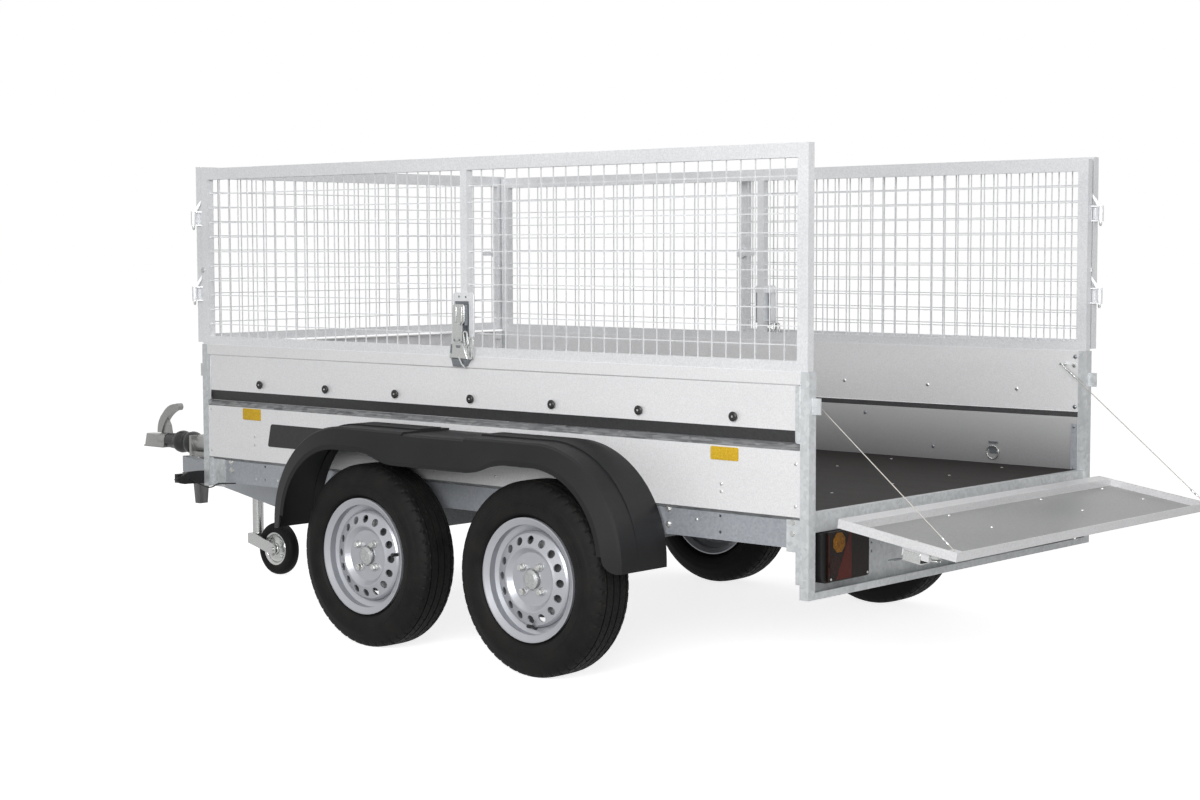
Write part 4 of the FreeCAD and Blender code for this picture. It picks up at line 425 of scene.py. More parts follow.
rim_silver = grained("rim_silver", RIM_PALE, 0.55, 0.36, [("Noise", 900), ("Noise", 12)], (0.4,),
                     (RIM_DARK, RIM_PALE), gloss=(0.3, 0.42), coat=0.15)
tyre_rubber = grained("tyre_rubber", (0.01, 0.01, 0.011), 0, 0.6,
                      [("Noise", 18, (1, 1, 1), 5), ("Noise", 350)], (0.4,),
                      ((0.005, 0.005, 0.0055), (0.015, 0.014, 0.013)), (0.35, 0.7), (0.5, 0.72),
                      ("Noise", 700, 0.0003, 0.5), 0.14)
# Half the tyre's section from its bead to the middle of its tread: distance out, radius.
SIDEWALL = ((56.9, 165.6), (56.9, 182.6), (60, 186), (64.5, 188.2), (69, 191), (72.6, 195), (73.4, 195.6),
            (75.4, 200), (77.6, 207), (79.2, 215), (79.9, 222), (79.1, 222.8), (79.3, 229), (78.4, 236),
            (78.9, 236.8), (77.5, 243), (75.6, 249), (74.8, 250.2), (73.4, 254), (71.6, 259), (69.4, 264),
            (67, 269), (64, 274), (60.5, 278.4), (56.6, 281.8), (53, 283.8), (49.5, 285.2), (46, 286.2),
            (42.6, 286.9), (42, 280.5), (38, 280.6), (37.4, 287.3), (33, 287.5), (28.5, 287.7), (24, 287.8),
            (19.5, 287.9), (15.6, 287.9), (15, 281), (11, 281), (10.4, 288), (6.5, 288), (3, 288), (0, 288))
TREAD_STEPS = 300


def tread_cut(out, radius, k):
    """How deep the tread is cut at a point: shoulder slots and slanted slits in the ribs."""
    if radius < 262 or 280 < radius < 281.5:
        return 0.0
    if out > 42.6:
        slot_here = (k + int(out / 9)) % 6 == 0
        return 3.4 * min(1.0, (radius - 260) / 14) if slot_here else 0.0
    if 17 < out < 37:
        return 2.6 if (2 * k + int(out / 3.5)) % 9 == 0 else 0.0
    if out < 8:
        return 1.8 if (k + int(out / 3)) % 7 == 0 else 0.0
    return 0.0


def tyre_mesh(centre, hand):
    """A radial tyre: its section turned round the axle, with grooves and slots in the tread."""
    mesh = bmesh.new()
    section = [(out, radius, 1) for out, radius in SIDEWALL]
    section += [(out, radius, -1) for out, radius in reversed(SIDEWALL[:-1])]
    rings = []
    for out, radius, way in section:
        ring = []
        for k in range(TREAD_STEPS):
            shift = k if way > 0 else k + 3
            deep = radius - tread_cut(out, radius, shift)
            angle = 2 * math.pi * k / TREAD_STEPS
            spot = Vector((deep * math.cos(angle), hand * way * out, deep * math.sin(angle))) / 1000
            ring.append(mesh.verts.new(centre + spot))
        rings.append(ring)
    rings.append(rings[0])
    for lower, upper in zip(rings, rings[1:]):
        for k in range(TREAD_STEPS):
            following = (k + 1) % TREAD_STEPS
            mesh.faces.new([lower[k], lower[following], upper[following], upper[k]])
    return mesh


for end in ("front", "rear"):
    for side, hand in HANDS.items():
        low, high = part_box(f"tyre_{end}_{side}")
        centre = (low + high) / 2
        body = f"wheel_{end}_{side}"
        wear(rim_silver, f"rim_{end}_{side}")
        tyre = new_piece(f"radial_tyre_{end}_{side}", tyre_mesh(centre, hand), tyre_rubber,
                         body, sharp=17)
        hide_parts(f"tyre_{end}_{side}")
        fixings, valve = bmesh.new(), bmesh.new()
        for k in range(4):
            angle = math.radians(FIRST_BOLT + 90 * k)
            ring = Vector((math.cos(angle), 0, math.sin(angle)))
            spot = centre + BOLT_RING * ring + hand * BOLT_FACE * Y
            turn(fixings, BOLT_SEAT, spot, hand * Y)
            turn(fixings, BOLT_HEAD, spot, hand * Y, 6, angle)
        new_piece(f"wheel_bolts_{end}_{side}", fixings, bolt_zinc, body=body)
        aim = Vector((-1, 0, 0.12)) if end == "front" else -Z
        foot = centre + aim.normalized() * VALVE_RING + hand * VALVE_OUT * Y
        turn(valve, VALVE, foot, hand * Y - aim * VALVE_LEAN, 16)
        new_piece(f"valve_{end}_{side}", valve, knob_black, body)

# Mudguards: one moulded guard over each pair of wheels, bolted to the board.
# Black polypropylene with a fine grain that scatters the light.
GUARD_PALE, GUARD_DARK = (0.022, 0.022, 0.023), (0.012, 0.012, 0.013)
guard_plastic = grained("guard_plastic", GUARD_PALE, 0, 0.5, [("Noise", 1100), ("Noise", 6, (1, 1, 1), 3)],
                        (0.4,), (GUARD_DARK, GUARD_PALE), (0.3, 0.7), (0.42, 0.56),
                        ("Noise", 1100, 0.0004, 0.5), 0.16)
for side in HANDS:
    wear(guard_plastic, f"mudguard_{side}")

# Drawbar and overrun coupling: a V of two folded channels, the sliding shaft under its bellows,
# and a pressed coupling head with its curved handle. Galvanised arms, zinc-plated head and
# handle, and a black rubber bellows.
for side in HANDS:
    wear(frame_zinc, f"drawbar_{side}")
cast_zinc = zinc("cast_zinc", (0.42, 0.42, 0.41), (0.3, 0.3, 0.29), 400, 0.7, (0.28, 0.42))
wear(cast_zinc, "coupling_head", "coupling_handle", "overrun_housing", "brake_lever")
bellows_rubber = grained("bellows_rubber", (0.013, 0.013, 0.014), 0, 0.3, [("Noise", 40)], (),
                         ((0.009, 0.009, 0.01), (0.018, 0.018, 0.019)), relief=("Noise", 500, 0.0003, 0.4))
wear(bellows_rubber, "bellows")
foot_steel = grained("foot_steel", (0.16, 0.16, 0.16), 0.6, 0.4, [("Noise", 30, (1, 1, 0.3), 4)], (),
                     ((0.1, 0.1, 0.1), (0.2, 0.2, 0.2)))
wear(foot_steel, "nose_foot")

# Jockey wheel: a screw-jack leg clamped to the left arm, its fork and a solid tyre on a pressed rim.
# Bright zinc-plated tube and fork; the rim is two dished halves bolted together.
ROLLER_TYRE = [(0.06, 0.016), (0.062, 0.0195), (0.066, 0.0225), (0.074, 0.0248), (0.084, 0.0245),
               (0.091, 0.0225), (0.096, 0.018), (0.0988, 0.011), (0.1, 0.004)]
ROLLER_DISC = [(0.0085, 0.0245), (0.019, 0.0245), (0.021, 0.0225), (0.023, 0.015), (0.03, 0.012),
               (0.045, 0.0118), (0.05, 0.0135), (0.053, 0.0175), (0.0575, 0.0205), (0.0625, 0.0212),
               (0.0635, 0.02), (0.06, 0.0155)]
DISC_BOLT_RING, DISC_FACE = 0.037, 0.0118


def both_halves(half, middle=()):
    """A closed section from its upper half, with points at the middle if there are any."""
    return half + list(middle) + [(radius, -up) for radius, up in reversed(half)] + half[:1]


plated = zinc("bright_plate", (0.64, 0.65, 0.64), (0.5, 0.51, 0.5), 500, 0.85, (0.16, 0.3))
wear(plated, "jockey_sleeve", "jockey_tube", "jockey_fork", "brake_rod")
low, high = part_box("jockey_roller")
centre = (low + high) / 2
rubber, discs = bmesh.new(), bmesh.new()
turn(rubber, both_halves(ROLLER_TYRE), centre, Y, 72)
jockey_tyre = new_piece("jockey_tyre", rubber, tyre_rubber, "jockey_wheel")
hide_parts("jockey_roller")
turn(discs, both_halves(ROLLER_DISC, [(0.0595, 0.0)]), centre, Y, 48)
for k in range(4):
    angle = math.radians(45 + 90 * k)
    ring = Vector((math.cos(angle), 0, math.sin(angle)))
    for way in (1, -1):
        hex_bolt(discs, centre + DISC_BOLT_RING * ring + way * DISC_FACE * Y, way * Y, 0.01, 0.005)
new_piece("jockey_rim", discs, plated, "jockey_wheel")

# Tail lamps: one cluster at each end of the crossbar, its lens held by two screws.
# A black moulded housing, ribbed on its outer side, under a dark red lens with an amber chamber,
# a round one and the brighter triangle that trailers carry.
LENS_FACE, LENS_THICK, HOUSING_FRONT = -0.011, 0.009, 0.037
LENS_IN, LENS_OUT, HOUSING_OUT = 0.486, 0.677, 0.698
LENS_LOW, LENS_HIGH, LENS_CORNER = 0.345, 0.48, 0.006
HOUSING_CORNER, RIB_COUNT, RIB_WIDE, RIB_PROUD = 0.022, 6, 0.0024, 0.0016
AMBER_PLACE, AMBER_RADIUS = (0.627, 0.449), 0.029
ROUND_PLACE, ROUND_RADIUS = (0.649, 0.391), 0.0265
TRIANGLE = ((0.64, 0.348), (0.577, 0.476), (0.57, 0.476), (0.57, 0.348))
HOUSING_LOW, HOUSING_CHAMFER = LENS_LOW - 0.003, 0.004
EDGE_LINE = oblong(LENS_OUT - 0.0045, LENS_OUT - 0.002, 0.362, 0.472)
SCREW_PLACES = ((0.665, 0.352), (0.494, 0.353))
LENS_SCREW = [(0, 0), (0.0036, 0), (0.0034, 0.0012), (0.0014, 0.0016), (0.0012, 0.0008), (0, 0.0008)]


def lens_finish(name, dark, pale, relief=420):
    """Moulded lens plastic: glossy skin over a colour that its fine prisms break up."""
    made = grained(name, pale, 0, 0.3, [("Voronoi", relief)], (), (dark, pale), (0.2, 0.8), None,
                   ("Voronoi", relief, 0.0006, 0.6), 0.1, 0.1)
    made.node_tree.nodes["Principled BSDF"].inputs["Coat Roughness"].default_value = 0.1
    return made


def ring_of(place, radius, sides, start=0.0):
    """Corners of a regular outline round a place, as (across, up) pairs."""
    angles = [start + 2 * math.pi * k / sides for k in range(sides)]
    return [(place[0] + radius * math.cos(a), place[1] + radius * math.sin(a)) for a in angles]


moulded_black = grained("moulded_black", (0.014, 0.014, 0.015), 0, 0.5, [("Noise", 300)], (),
                        ((0.01, 0.01, 0.011), (0.02, 0.02, 0.021)), specular=0.25)
lens_dark = lens_finish("lens_dark", (0.006, 0.003, 0.002), (0.013, 0.005, 0.003))
lens_round = lens_finish("lens_round", (0.01, 0.003, 0.002), (0.028, 0.007, 0.004), 260)
lens_triangle = lens_finish("lens_triangle", (0.06, 0.007, 0.003), (0.1, 0.012, 0.005), 500)
lens_amber = lens_finish("lens_amber", (0.17, 0.066, 0.003), (0.3, 0.125, 0.006), 240)
housings, lenses, rounds, triangles, ambers, edges, lens_screws = (bmesh.new() for k in range(7))
deep = HOUSING_FRONT - LENS_FACE - LENS_THICK
outline = [(LENS_IN, HOUSING_LOW), (LENS_IN, LENS_HIGH), (HOUSING_OUT - HOUSING_CHAMFER, LENS_HIGH),
           (HOUSING_OUT, LENS_HIGH - HOUSING_CHAMFER)]
outline += reversed(corner_arc(HOUSING_OUT, HOUSING_LOW, HOUSING_CORNER, 6))
ribbed = [(across + (RIB_PROUD if across > LENS_OUT else 0), up) for across, up in outline]
lens_outline = rounded(LENS_OUT - LENS_IN, LENS_HIGH - LENS_LOW, LENS_CORNER, 5, LENS_IN, LENS_LOW)
lens_parts = ((lenses, lens_outline, LENS_THICK, -LENS_THICK),
              (ambers, ring_of(AMBER_PLACE, AMBER_RADIUS, 8, math.pi / 8), 0.0012, -0.0004),
              (ambers, ring_of(AMBER_PLACE, AMBER_RADIUS * 0.62, 8, math.pi / 8), 0.001, 0.0006),
              (rounds, ring_of(ROUND_PLACE, ROUND_RADIUS, 32), 0.0008, -0.0004),
              (rounds, ring_of(ROUND_PLACE, ROUND_RADIUS * 0.8, 32), 0.0008, 0.0002),
              (triangles, TRIANGLE, 0.0008, -0.0003), (edges, EDGE_LINE, 0.0006, -0.0002))
for hand in BOTH:
    place = stand((tail + LENS_FACE + LENS_THICK, 0, 0), hand * Y, Z, -X)
    press(housings, outline, deep, place, -deep)
    for k in range(RIB_COUNT):
        press(housings, ribbed, RIB_WIDE, place, -deep + (k + 0.7) * deep / RIB_COUNT)
    for mesh, form, thick, proud in lens_parts:
        press(mesh, form, thick, place, LENS_THICK + proud)
    for across, up in SCREW_PLACES:
        turn(lens_screws, LENS_SCREW, (tail + LENS_FACE - 0.0002, hand * across, up), -X, 14)
lamp_body = new_piece("lamp_housings", housings, moulded_black)
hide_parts("tail_lamps")
new_piece("lamp_lenses", lenses, lens_dark, edge=0.0012)
new_piece("lamp_ambers", ambers, lens_amber, edge=0.0005)
new_piece("lamp_rounds", rounds, lens_round, edge=0.0003)
new_piece("lamp_triangles", triangles, lens_triangle, edge=0.0003)
new_piece("lamp_edges", edges, lens_triangle)
new_piece("lens_screws", lens_screws, bolt_zinc)

# Side reflectors: amber blocks under the groove, one at the front and one at the rear of each side.
# Moulded plastic in two halves, one with a field of small pyramids and one plainer.
REFLECTORS = ((0.24, 0.338, 0.662, 0.699), (2.304, 2.4, 0.662, 0.701))
REFLECTOR_CORNER, REFLECTOR_RIM, REFLECTOR_SPLIT, PRISM = 0.0045, 0.0035, 0.45, 0.0034
BLOCK_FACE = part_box("side_reflectors")[1].y - board_side - 0.0012
reflector_amber = lens_finish("reflector_amber", (0.52, 0.33, 0.022), (0.66, 0.43, 0.034), 300)
blocks, fields = bmesh.new(), bmesh.new()
for hand in BOTH:
    for back, front, low, high in REFLECTORS:
        place = stand((tail + front, hand * board_side, low), -X, Z, hand * Y)
        wide, tall = front - back, high - low
        split = wide * REFLECTOR_SPLIT
        inner = tall - 2 * REFLECTOR_RIM
        press(blocks, rounded(wide, tall, REFLECTOR_CORNER), BLOCK_FACE, place)
        press(blocks, rounded(split - REFLECTOR_RIM - 0.0006, inner, 0.002, 3, REFLECTOR_RIM, REFLECTOR_RIM),
              0.0008, place, BLOCK_FACE)
        for i in range(int((wide - split - REFLECTOR_RIM) / PRISM)):
            for j in range(int(inner / PRISM)):
                left, foot = split + i * PRISM, REFLECTOR_RIM + j * PRISM
                base = [fields.verts.new(place @ Vector((a, b, BLOCK_FACE - 0.0001)))
                        for a, b in oblong(left, left + PRISM, foot, foot + PRISM)]
                tip = place @ Vector((left + PRISM / 2, foot + PRISM / 2, BLOCK_FACE + 0.001))
                tip = fields.verts.new(tip)
                fields.faces.new(base)
                for k in range(4):
                    fields.faces.new([base[k], base[(k + 1) % 4], tip])
block = new_piece("reflector_blocks", blocks, reflector_amber, edge=0.0009)
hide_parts("side_reflectors")
new_piece("reflector_prisms", fields, reflector_amber, sharp=5)

# Marker lamps and their feed cables: a small lamp on a bent arm at each front corner.
# Both are moulded black; a thin black cable runs from the lamp back under the side rail.
cable_black = grained("cable_black", (0.016, 0.016, 0.017), 0, 0.5, [("Noise", 200)], (),
                      ((0.012, 0.012, 0.013), (0.022, 0.022, 0.023)), specular=0.3)
wear(cable_black, "feed_cables")
wear(moulded_black, "marker_lamps")

# Side latches: an over-centre lever on each mesh side's middle post, hooked under the board's lip.
# Bright zinc-plated pressings: a ribbed lever over a base plate, a knee, a jaw and wire links. The lever's
# flanks, the jaw, the pins and thin patches in the plate's gap and the knee's slot and notch are a darker
# copy of the zinc, painted shade.
LATCH_OUT = 0.751
BASE_PLATE = ((1.262, 0.975), (1.2835, 0.975), (1.2835, 1.083), (1.3475, 1.083), (1.3475, 0.975),
              (1.3515, 0.975), (1.3515, 1.104), (1.3455, 1.11), (1.268, 1.11), (1.262, 1.104))
PLATE_GAP = rounded(0.066, 0.11, 0.003, 3, 1.2825, 0.975)
LEVER = ((1.296, 0.962), (1.3355, 0.962), (1.334, 1.07), (1.33, 1.0745), (1.29, 1.0745),
         (1.2856, 1.07), (1.2856, 1.022), (1.296, 1.01))
FLANK_LEFT, FLANK_RIGHT = (oblong(edge, edge + 0.0025, 1.01, 1.0735) for edge in (1.2857, 1.3318))
LEVER_TONGUE = oblong(1.2965, 1.299, 0.963, 1.011)
LEVER_RIBS = [rounded(0.01, 0.05, 0.0045, 4, middle - 0.005, 1.018) for middle in (1.2985, 1.3225)]
KNEE = ((1.341, 0.957), (1.3555, 0.91), (1.2743, 0.907), (1.296, 0.957))
KNEE_SLOT = ((1.34, 0.951), (1.346, 0.951), (1.35, 0.926), (1.342, 0.922))
JAW = ((1.352, 0.909), (1.3438, 0.883), (1.2923, 0.8845), (1.2737, 0.907))
KNEE_NOTCH = ((1.304, 0.949), (1.325, 0.949), (1.321, 0.941), (1.306, 0.941))
LINKS = ((1.2825, 0.992, 0.946, 0.0075, 0.02, 0.16), (1.2655, 0.974, 0.908, 0.0085, 0.016, -0.12))
HOOK = ((1.314, 0.914, 0.02), (1.3065, 0.904, 0.022), (1.3, 0.892, 0.021), (1.293, 0.881, 0.014))
PIN_PLACES = ((1.299, 1.0135, 0.0242), (1.306, 0.966, 0.0242), (1.328, 0.9655, 0.0242),
              (1.3255, 1.0975, 0.0055), (1.296, 1.0965, 0.0055))
LATCH_PIN = [(0, 0), (0.0036, 0), (0.0034, 0.0012), (0.002, 0.002), (0, 0.0022)]


def bent_wire(mesh, path, radius, sides=8, closed=False):
    """A round wire swept along points, its rings square to the run."""
    rings = []
    count = len(path)
    for k, spot in enumerate(path):
        before = path[k - 1] if closed or k else path[k]
        after = path[(k + 1) % count] if closed or k < count - 1 else path[k]
        aim = (after - before).to_track_quat("Z", "Y").to_matrix()
        rings.append([mesh.verts.new(spot + aim @ Vector((*corner, 0)))
                      for corner in ring_of((0, 0), radius, sides)])
    pairs = list(zip(rings, rings[1:])) + ([(rings[-1], rings[0])] if closed else [])
    for lower, upper in pairs:
        shift = min(range(sides), key=lambda s: (lower[0].co - upper[s].co).length)
        for i in range(sides):
            far, near = (i + 1 + shift) % sides, (i + shift) % sides
            mesh.faces.new([lower[i], lower[(i + 1) % sides], upper[far], upper[near]])
    if not closed:
        mesh.faces.new(rings[0])
        mesh.faces.new(rings[-1])


def oval(centre, across, up, wide, tall, steps=8):
    """A wire link's path: two straight sides joined by half circles, as points in a plane."""
    points = []
    for k in range(2 * steps + 2):
        half = k // (steps + 1)
        angle = math.pi * half + math.pi * (k % (steps + 1)) / steps
        rise = (tall / 2 - wide / 2) * (1 if half == 0 else -1)
        out = wide / 2 * math.cos(angle)
        points.append(centre + across * out + up * (wide / 2 * math.sin(angle) + rise))
    return points


# A darker copy of the plated zinc: painted shade on parts that lie in shadow.
zinc_painted_shade = zinc("zinc_painted_shade", (0.26, 0.28, 0.3), (0.14, 0.15, 0.16), 500, 0.7, (0.28, 0.42))
base_plates, levers, ribs, shaded_flanks, knees, jaws, links, latch_pins = (bmesh.new() for k in range(8))
# Each pressing's mesh, outline and thickness, and how far its back stands out.
latch_parts = ((base_plates, BASE_PLATE, 0.0055, 0.0002), (shaded_flanks, PLATE_GAP, 0.0012, 0.0001),
               (levers, LEVER, 0.004, 0.02), (shaded_flanks, FLANK_LEFT, 0.019, 0.0012),
               (shaded_flanks, FLANK_RIGHT, 0.019, 0.0012), (shaded_flanks, LEVER_TONGUE, 0.016, 0.0042),
               (ribs, LEVER_RIBS[0], 0.0028, 0.0235), (ribs, LEVER_RIBS[1], 0.0028, 0.0235),
               (knees, KNEE, 0.016, 0.006), (shaded_flanks, KNEE_SLOT, 0.001, 0.0216),
               (shaded_flanks, KNEE_NOTCH, 0.001, 0.0216), (jaws, JAW, 0.016, 0.001))
for hand in BOTH:
    for mesh, outline, thick, out in latch_parts:
        press(mesh, outline, thick, stand((tail, hand * (LATCH_OUT + out), 0), X, Z, hand * Y))
    for x, top, low, wide, out, slant in LINKS:
        centre = Vector((tail + x, hand * (LATCH_OUT + out), (top + low) / 2))
        lean = Vector((slant, 0, 1)).normalized()
        bent_wire(links, oval(centre, lean.cross(hand * Y), lean, 2 * wide, top - low), 0.003, closed=True)
    bent_wire(links, [Vector((tail + x, hand * (LATCH_OUT + out), z)) for x, z, out in HOOK], 0.0028)
    for x, z, out in PIN_PLACES:
        turn(latch_pins, LATCH_PIN, (tail + x, hand * (LATCH_OUT + out - 0.0003), z), hand * Y, 12)
lever = new_piece("latch_levers", levers, plated, edge=0.0012)
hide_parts("side_latches")
new_piece("latch_base_plates", base_plates, mesh_zinc, edge=0.0008)
new_piece("lever_ribs", ribs, plated, edge=0.0012)
new_piece("lever_flanks_painted_shade", shaded_flanks, zinc_painted_shade)
new_piece("latch_knees", knees, plated, edge=0.0022)
new_piece("latch_jaws", jaws, zinc_painted_shade, edge=0.0015)
new_piece("latch_links", links, plated)
new_piece("latch_pins", latch_pins, zinc_painted_shade)

# Tailgate toggles: a pull-down catch near each side edge of the lowered tailgate, on its underside.
# Bright zinc-plated: a folded cover over the lever, a flat pull handle and a hook towards the edge; the
# handle is a darker copy of the zinc, painted shade.
PIN_OUT, PIN_LEVEL, DROOP = 0.01, 0.495, math.radians(8.6)
GATE_HALF, GATE_OUTER, PAN_SHEET = 0.701, -0.012, 0.003
along_gate = Vector((-math.cos(DROOP), 0, -math.sin(DROOP)))
below_gate = Vector((math.sin(DROOP), 0, -math.cos(DROOP)))
gate_pin = Vector((tail - PIN_OUT, 0, PIN_LEVEL))
TOGGLE_IN, TOGGLE_WIDE, COVER_LOW, COVER_TALL, COVER_OUT = 0.649, 0.04, 0.25, 0.062, 0.0325
COVER_THICK, CHEEK_THICK, CHEEK_SHORT, HANDLE_TILT = 0.0035, 0.003, 0.004, -0.32
COVER = rounded(TOGGLE_WIDE + 2 * CHEEK_THICK, COVER_TALL, 0.004, 3, TOGGLE_IN - CHEEK_THICK, COVER_LOW)
CHEEKS = [oblong(edge, edge + CHEEK_THICK, COVER_LOW + CHEEK_SHORT, COVER_LOW + COVER_TALL - CHEEK_SHORT)
          for edge in (TOGGLE_IN - CHEEK_THICK, TOGGLE_IN + TOGGLE_WIDE)]
HANDLE = rounded(0.038, 0.06, 0.006, 4, TOGGLE_IN + 0.001, -0.06)
FINGER_PAD = rounded(0.022, 0.012, 0.003, 4, TOGGLE_IN + 0.009, -0.046)
HOOK_PLATE = ((TOGGLE_IN + 0.004, 0.312), (TOGGLE_IN + 0.036, 0.312), (TOGGLE_IN + 0.03, 0.352),
              (TOGGLE_IN + 0.01, 0.352))
TOGGLE_WIRE = ((0.014, 0.3, 0.02), (0.014, 0.33, 0.022), (0.014, 0.35, 0.019), (0.02, 0.358, 0.016),
               (0.026, 0.35, 0.019), (0.026, 0.33, 0.022), (0.026, 0.3, 0.02))
covers, handles, catches = (bmesh.new() for k in range(3))
for hand in BOTH:
    place = stand(gate_pin + below_gate * GATE_OUTER, hand * Y, along_gate, below_gate)
    press(covers, COVER, COVER_THICK, place, COVER_OUT)
    for cheek in CHEEKS:
        press(covers, cheek, 0.026, place, COVER_OUT - 0.0245)
    hinge = Matrix.Translation((0, COVER_LOW + 0.012, COVER_OUT - 0.002))
    tilt = place @ hinge @ Matrix.Rotation(HANDLE_TILT, 4, "X")
    press(handles, HANDLE, 0.0028, tilt)
    press(handles, FINGER_PAD, 0.0016, tilt, 0.0026)
    press(catches, HOOK_PLATE, 0.01, place, 0.0035)
    bent_wire(catches, [place @ Vector((TOGGLE_IN + a, b, c)) for a, b, c in TOGGLE_WIRE], 0.0026)
new_piece("toggle_covers", covers, plated, "tailgate", edge=0.001)
new_piece("toggle_handles", handles, zinc_painted_shade, body="tailgate", edge=0.0008)
new_piece("toggle_hooks", catches, plated, "tailgate", edge=0.0008)

# Tailgate pan: the sunk sheet of the lowered tailgate, with eight rivets; a thin skin over it is painted
# darker than its folded rims, a painted reflection of darker surroundings.
# Galvanised sheet; the plug rivets close the holes of a ramp's fittings.
PAN_LOW, PAN_HIGH, PAN_SKIN = 0.0765, 0.4095, 0.0004
pan_painted_reflection = grained("pan_painted_reflection", (0.36, 0.36, 0.36), 0.5, 0.42,
                   [("Voronoi", 320), ("Noise", 4, (1, 0.6, 1), 4)], (0.45,),
                   ((0.29, 0.29, 0.29), (0.38, 0.38, 0.38)), (0.28, 0.68), (0.34, 0.48),
                   ("Voronoi", 320, 0.0002, 0.3))
pan, pan_rivets = bmesh.new(), bmesh.new()
place = stand(gate_pin + below_gate * (GATE_OUTER - PAN_SHEET), Y, along_gate, -below_gate)
pan_half = GATE_HALF - PAN_SHEET - 0.0005
press(pan, rounded(2 * pan_half, PAN_HIGH - PAN_LOW, 0.002, 2, -pan_half, PAN_LOW), PAN_SKIN, place)
for across in (-0.62, -0.25, 0.25, 0.62):
    for up in (0.105, 0.245):
        rivet(pan_rivets, place @ Vector((across, up, PAN_SKIN)), -below_gate, 0.005)
new_piece("tailgate_pan", pan, pan_painted_reflection, body="tailgate")
new_piece("pan_rivets", pan_rivets, bolt_zinc, body="tailgate")

# Stays: the two thin wires that carry the lowered tailgate, each with crimped ends and an S-hook.
# Stranded steel wire; bright zinc-plated eye bolts, hooks and crimp sleeves.
wear(plated, "stay_hooks")
stay_wire = grained("stay_wire", (0.5, 0.48, 0.44), 0.6, 0.38, [("Wave", 260)], (),
                    ((0.36, 0.34, 0.31), (0.6, 0.58, 0.54)))
wear(stay_wire, "tailgate_stays")
stay_low, stay_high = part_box("tailgate_stays")
STAY_RADIUS, CURL_LONG, CURL_STEPS, CURL_WIDE = 0.0015, 0.03, 12, 0.007
CRIMP = [(0, 0), (0.0026, 0), (0.0034, 0.002), (0.0034, 0.013), (0.0026, 0.015), (0.0024, 0.017),
         (0.0033, 0.019), (0.0033, 0.03), (0.0022, 0.032), (0, 0.032)]
EYE_NUT = [(0, 0), (0.0075, 0), (0.0072, 0.003), (0.005, 0.005), (0, 0.0056)]
sleeves, hooks = bmesh.new(), bmesh.new()
for hand in BOTH:
    y = hand * (stay_high.y - STAY_RADIUS)
    head = Vector((stay_high.x, y, stay_high.z))
    foot = Vector((stay_low.x, y, stay_low.z))
    run = (foot - head).normalized()
    turn(sleeves, CRIMP, head + run * CURL_LONG, run, 12)
    turn(sleeves, CRIMP, foot - run * 0.024, -run, 12)
    curl = []
    for k in range(CURL_STEPS + 1):
        share = k / CURL_STEPS
        side = math.sin(2 * math.pi * share) * CURL_WIDE
        curl.append(head + run * (share * CURL_LONG - 0.004) + Vector((0.6, 0, 0.8)) * side)
    bent_wire(hooks, curl, 0.0022)
    turn(hooks, EYE_NUT, (tail + 0.045, hand * board_inner, 0.869), -hand * Y, 16)
new_piece("stay_sleeves", sleeves, plated)
new_piece("stay_s_hooks", hooks, plated)

# Lashing rings: a saddle and its hanging D-ring low on the inside of the boards, two on each side.
# Zinc-plated forgings bolted through the lower board; the saddles are a darker copy of the zinc, painted
# shade.
RING_XS, RING_WIDE, RING_TALL, RING_WIRE, RING_LEVEL = (0.338, 2.262), 0.044, 0.038, 0.003, 0.592
SADDLE = ((rounded(0.036, 0.008, 0.003, 3, -0.018, 0.601), 0.004),
          (rounded(0.03, 0.026, 0.006, 4, -0.015, 0.568), 0.003),
          (rounded(0.02, 0.01, 0.003, 4, -0.01, 0.588), 0.009))
saddles, rings = bmesh.new(), bmesh.new()
for hand in BOTH:
    for x in RING_XS:
        place = stand((tail + x, hand * board_inner, 0), X, Z, -hand * Y)
        for outline, thick in SADDLE:
            press(saddles, outline, thick, place)
        centre = Vector((tail + x, hand * (board_inner - 0.007), RING_LEVEL - RING_TALL / 2))
        bent_wire(rings, oval(centre, X, Z, RING_WIDE, RING_TALL + 0.006), RING_WIRE, closed=True)
new_piece("lashing_saddles", saddles, zinc_painted_shade, edge=0.0008)
new_piece("lashing_rings", rings, plated)

# Mesh gate hinges: a slanted strap from the post to the top of each knuckle and the pin's tail below,
# with a stop button between them. Zinc-plated, at the front left and rear right corners.
HINGE_LEVELS, KNUCKLE_TALL, STRAP_REACH, STRAP_TALL, STRAP_THICK = (1.065, 1.325), 0.04, 0.03, 0.046, 0.003
MESH_EDGE, POST_IN, PIN_ALONG, PIN_SIDE, STOP_LEVEL = 0.751, 0.031, 0.022, 0.016, 1.172
STRAP = ((0.001, STRAP_TALL), (0.001, STRAP_TALL - 0.014), (STRAP_REACH - 0.01, 0), (STRAP_REACH, 0),
         (STRAP_REACH, 0.006))
PIN_TAIL = [(0, 0), (0.0046, 0), (0.0046, 0.008), (0.003, 0.013), (0, 0.014)]
STOP_BUTTON = [(0, 0), (0.01, 0), (0.01, 0.003), (0.0065, 0.004), (0.006, 0.006), (0, 0.006)]
straps, tails = bmesh.new(), bmesh.new()
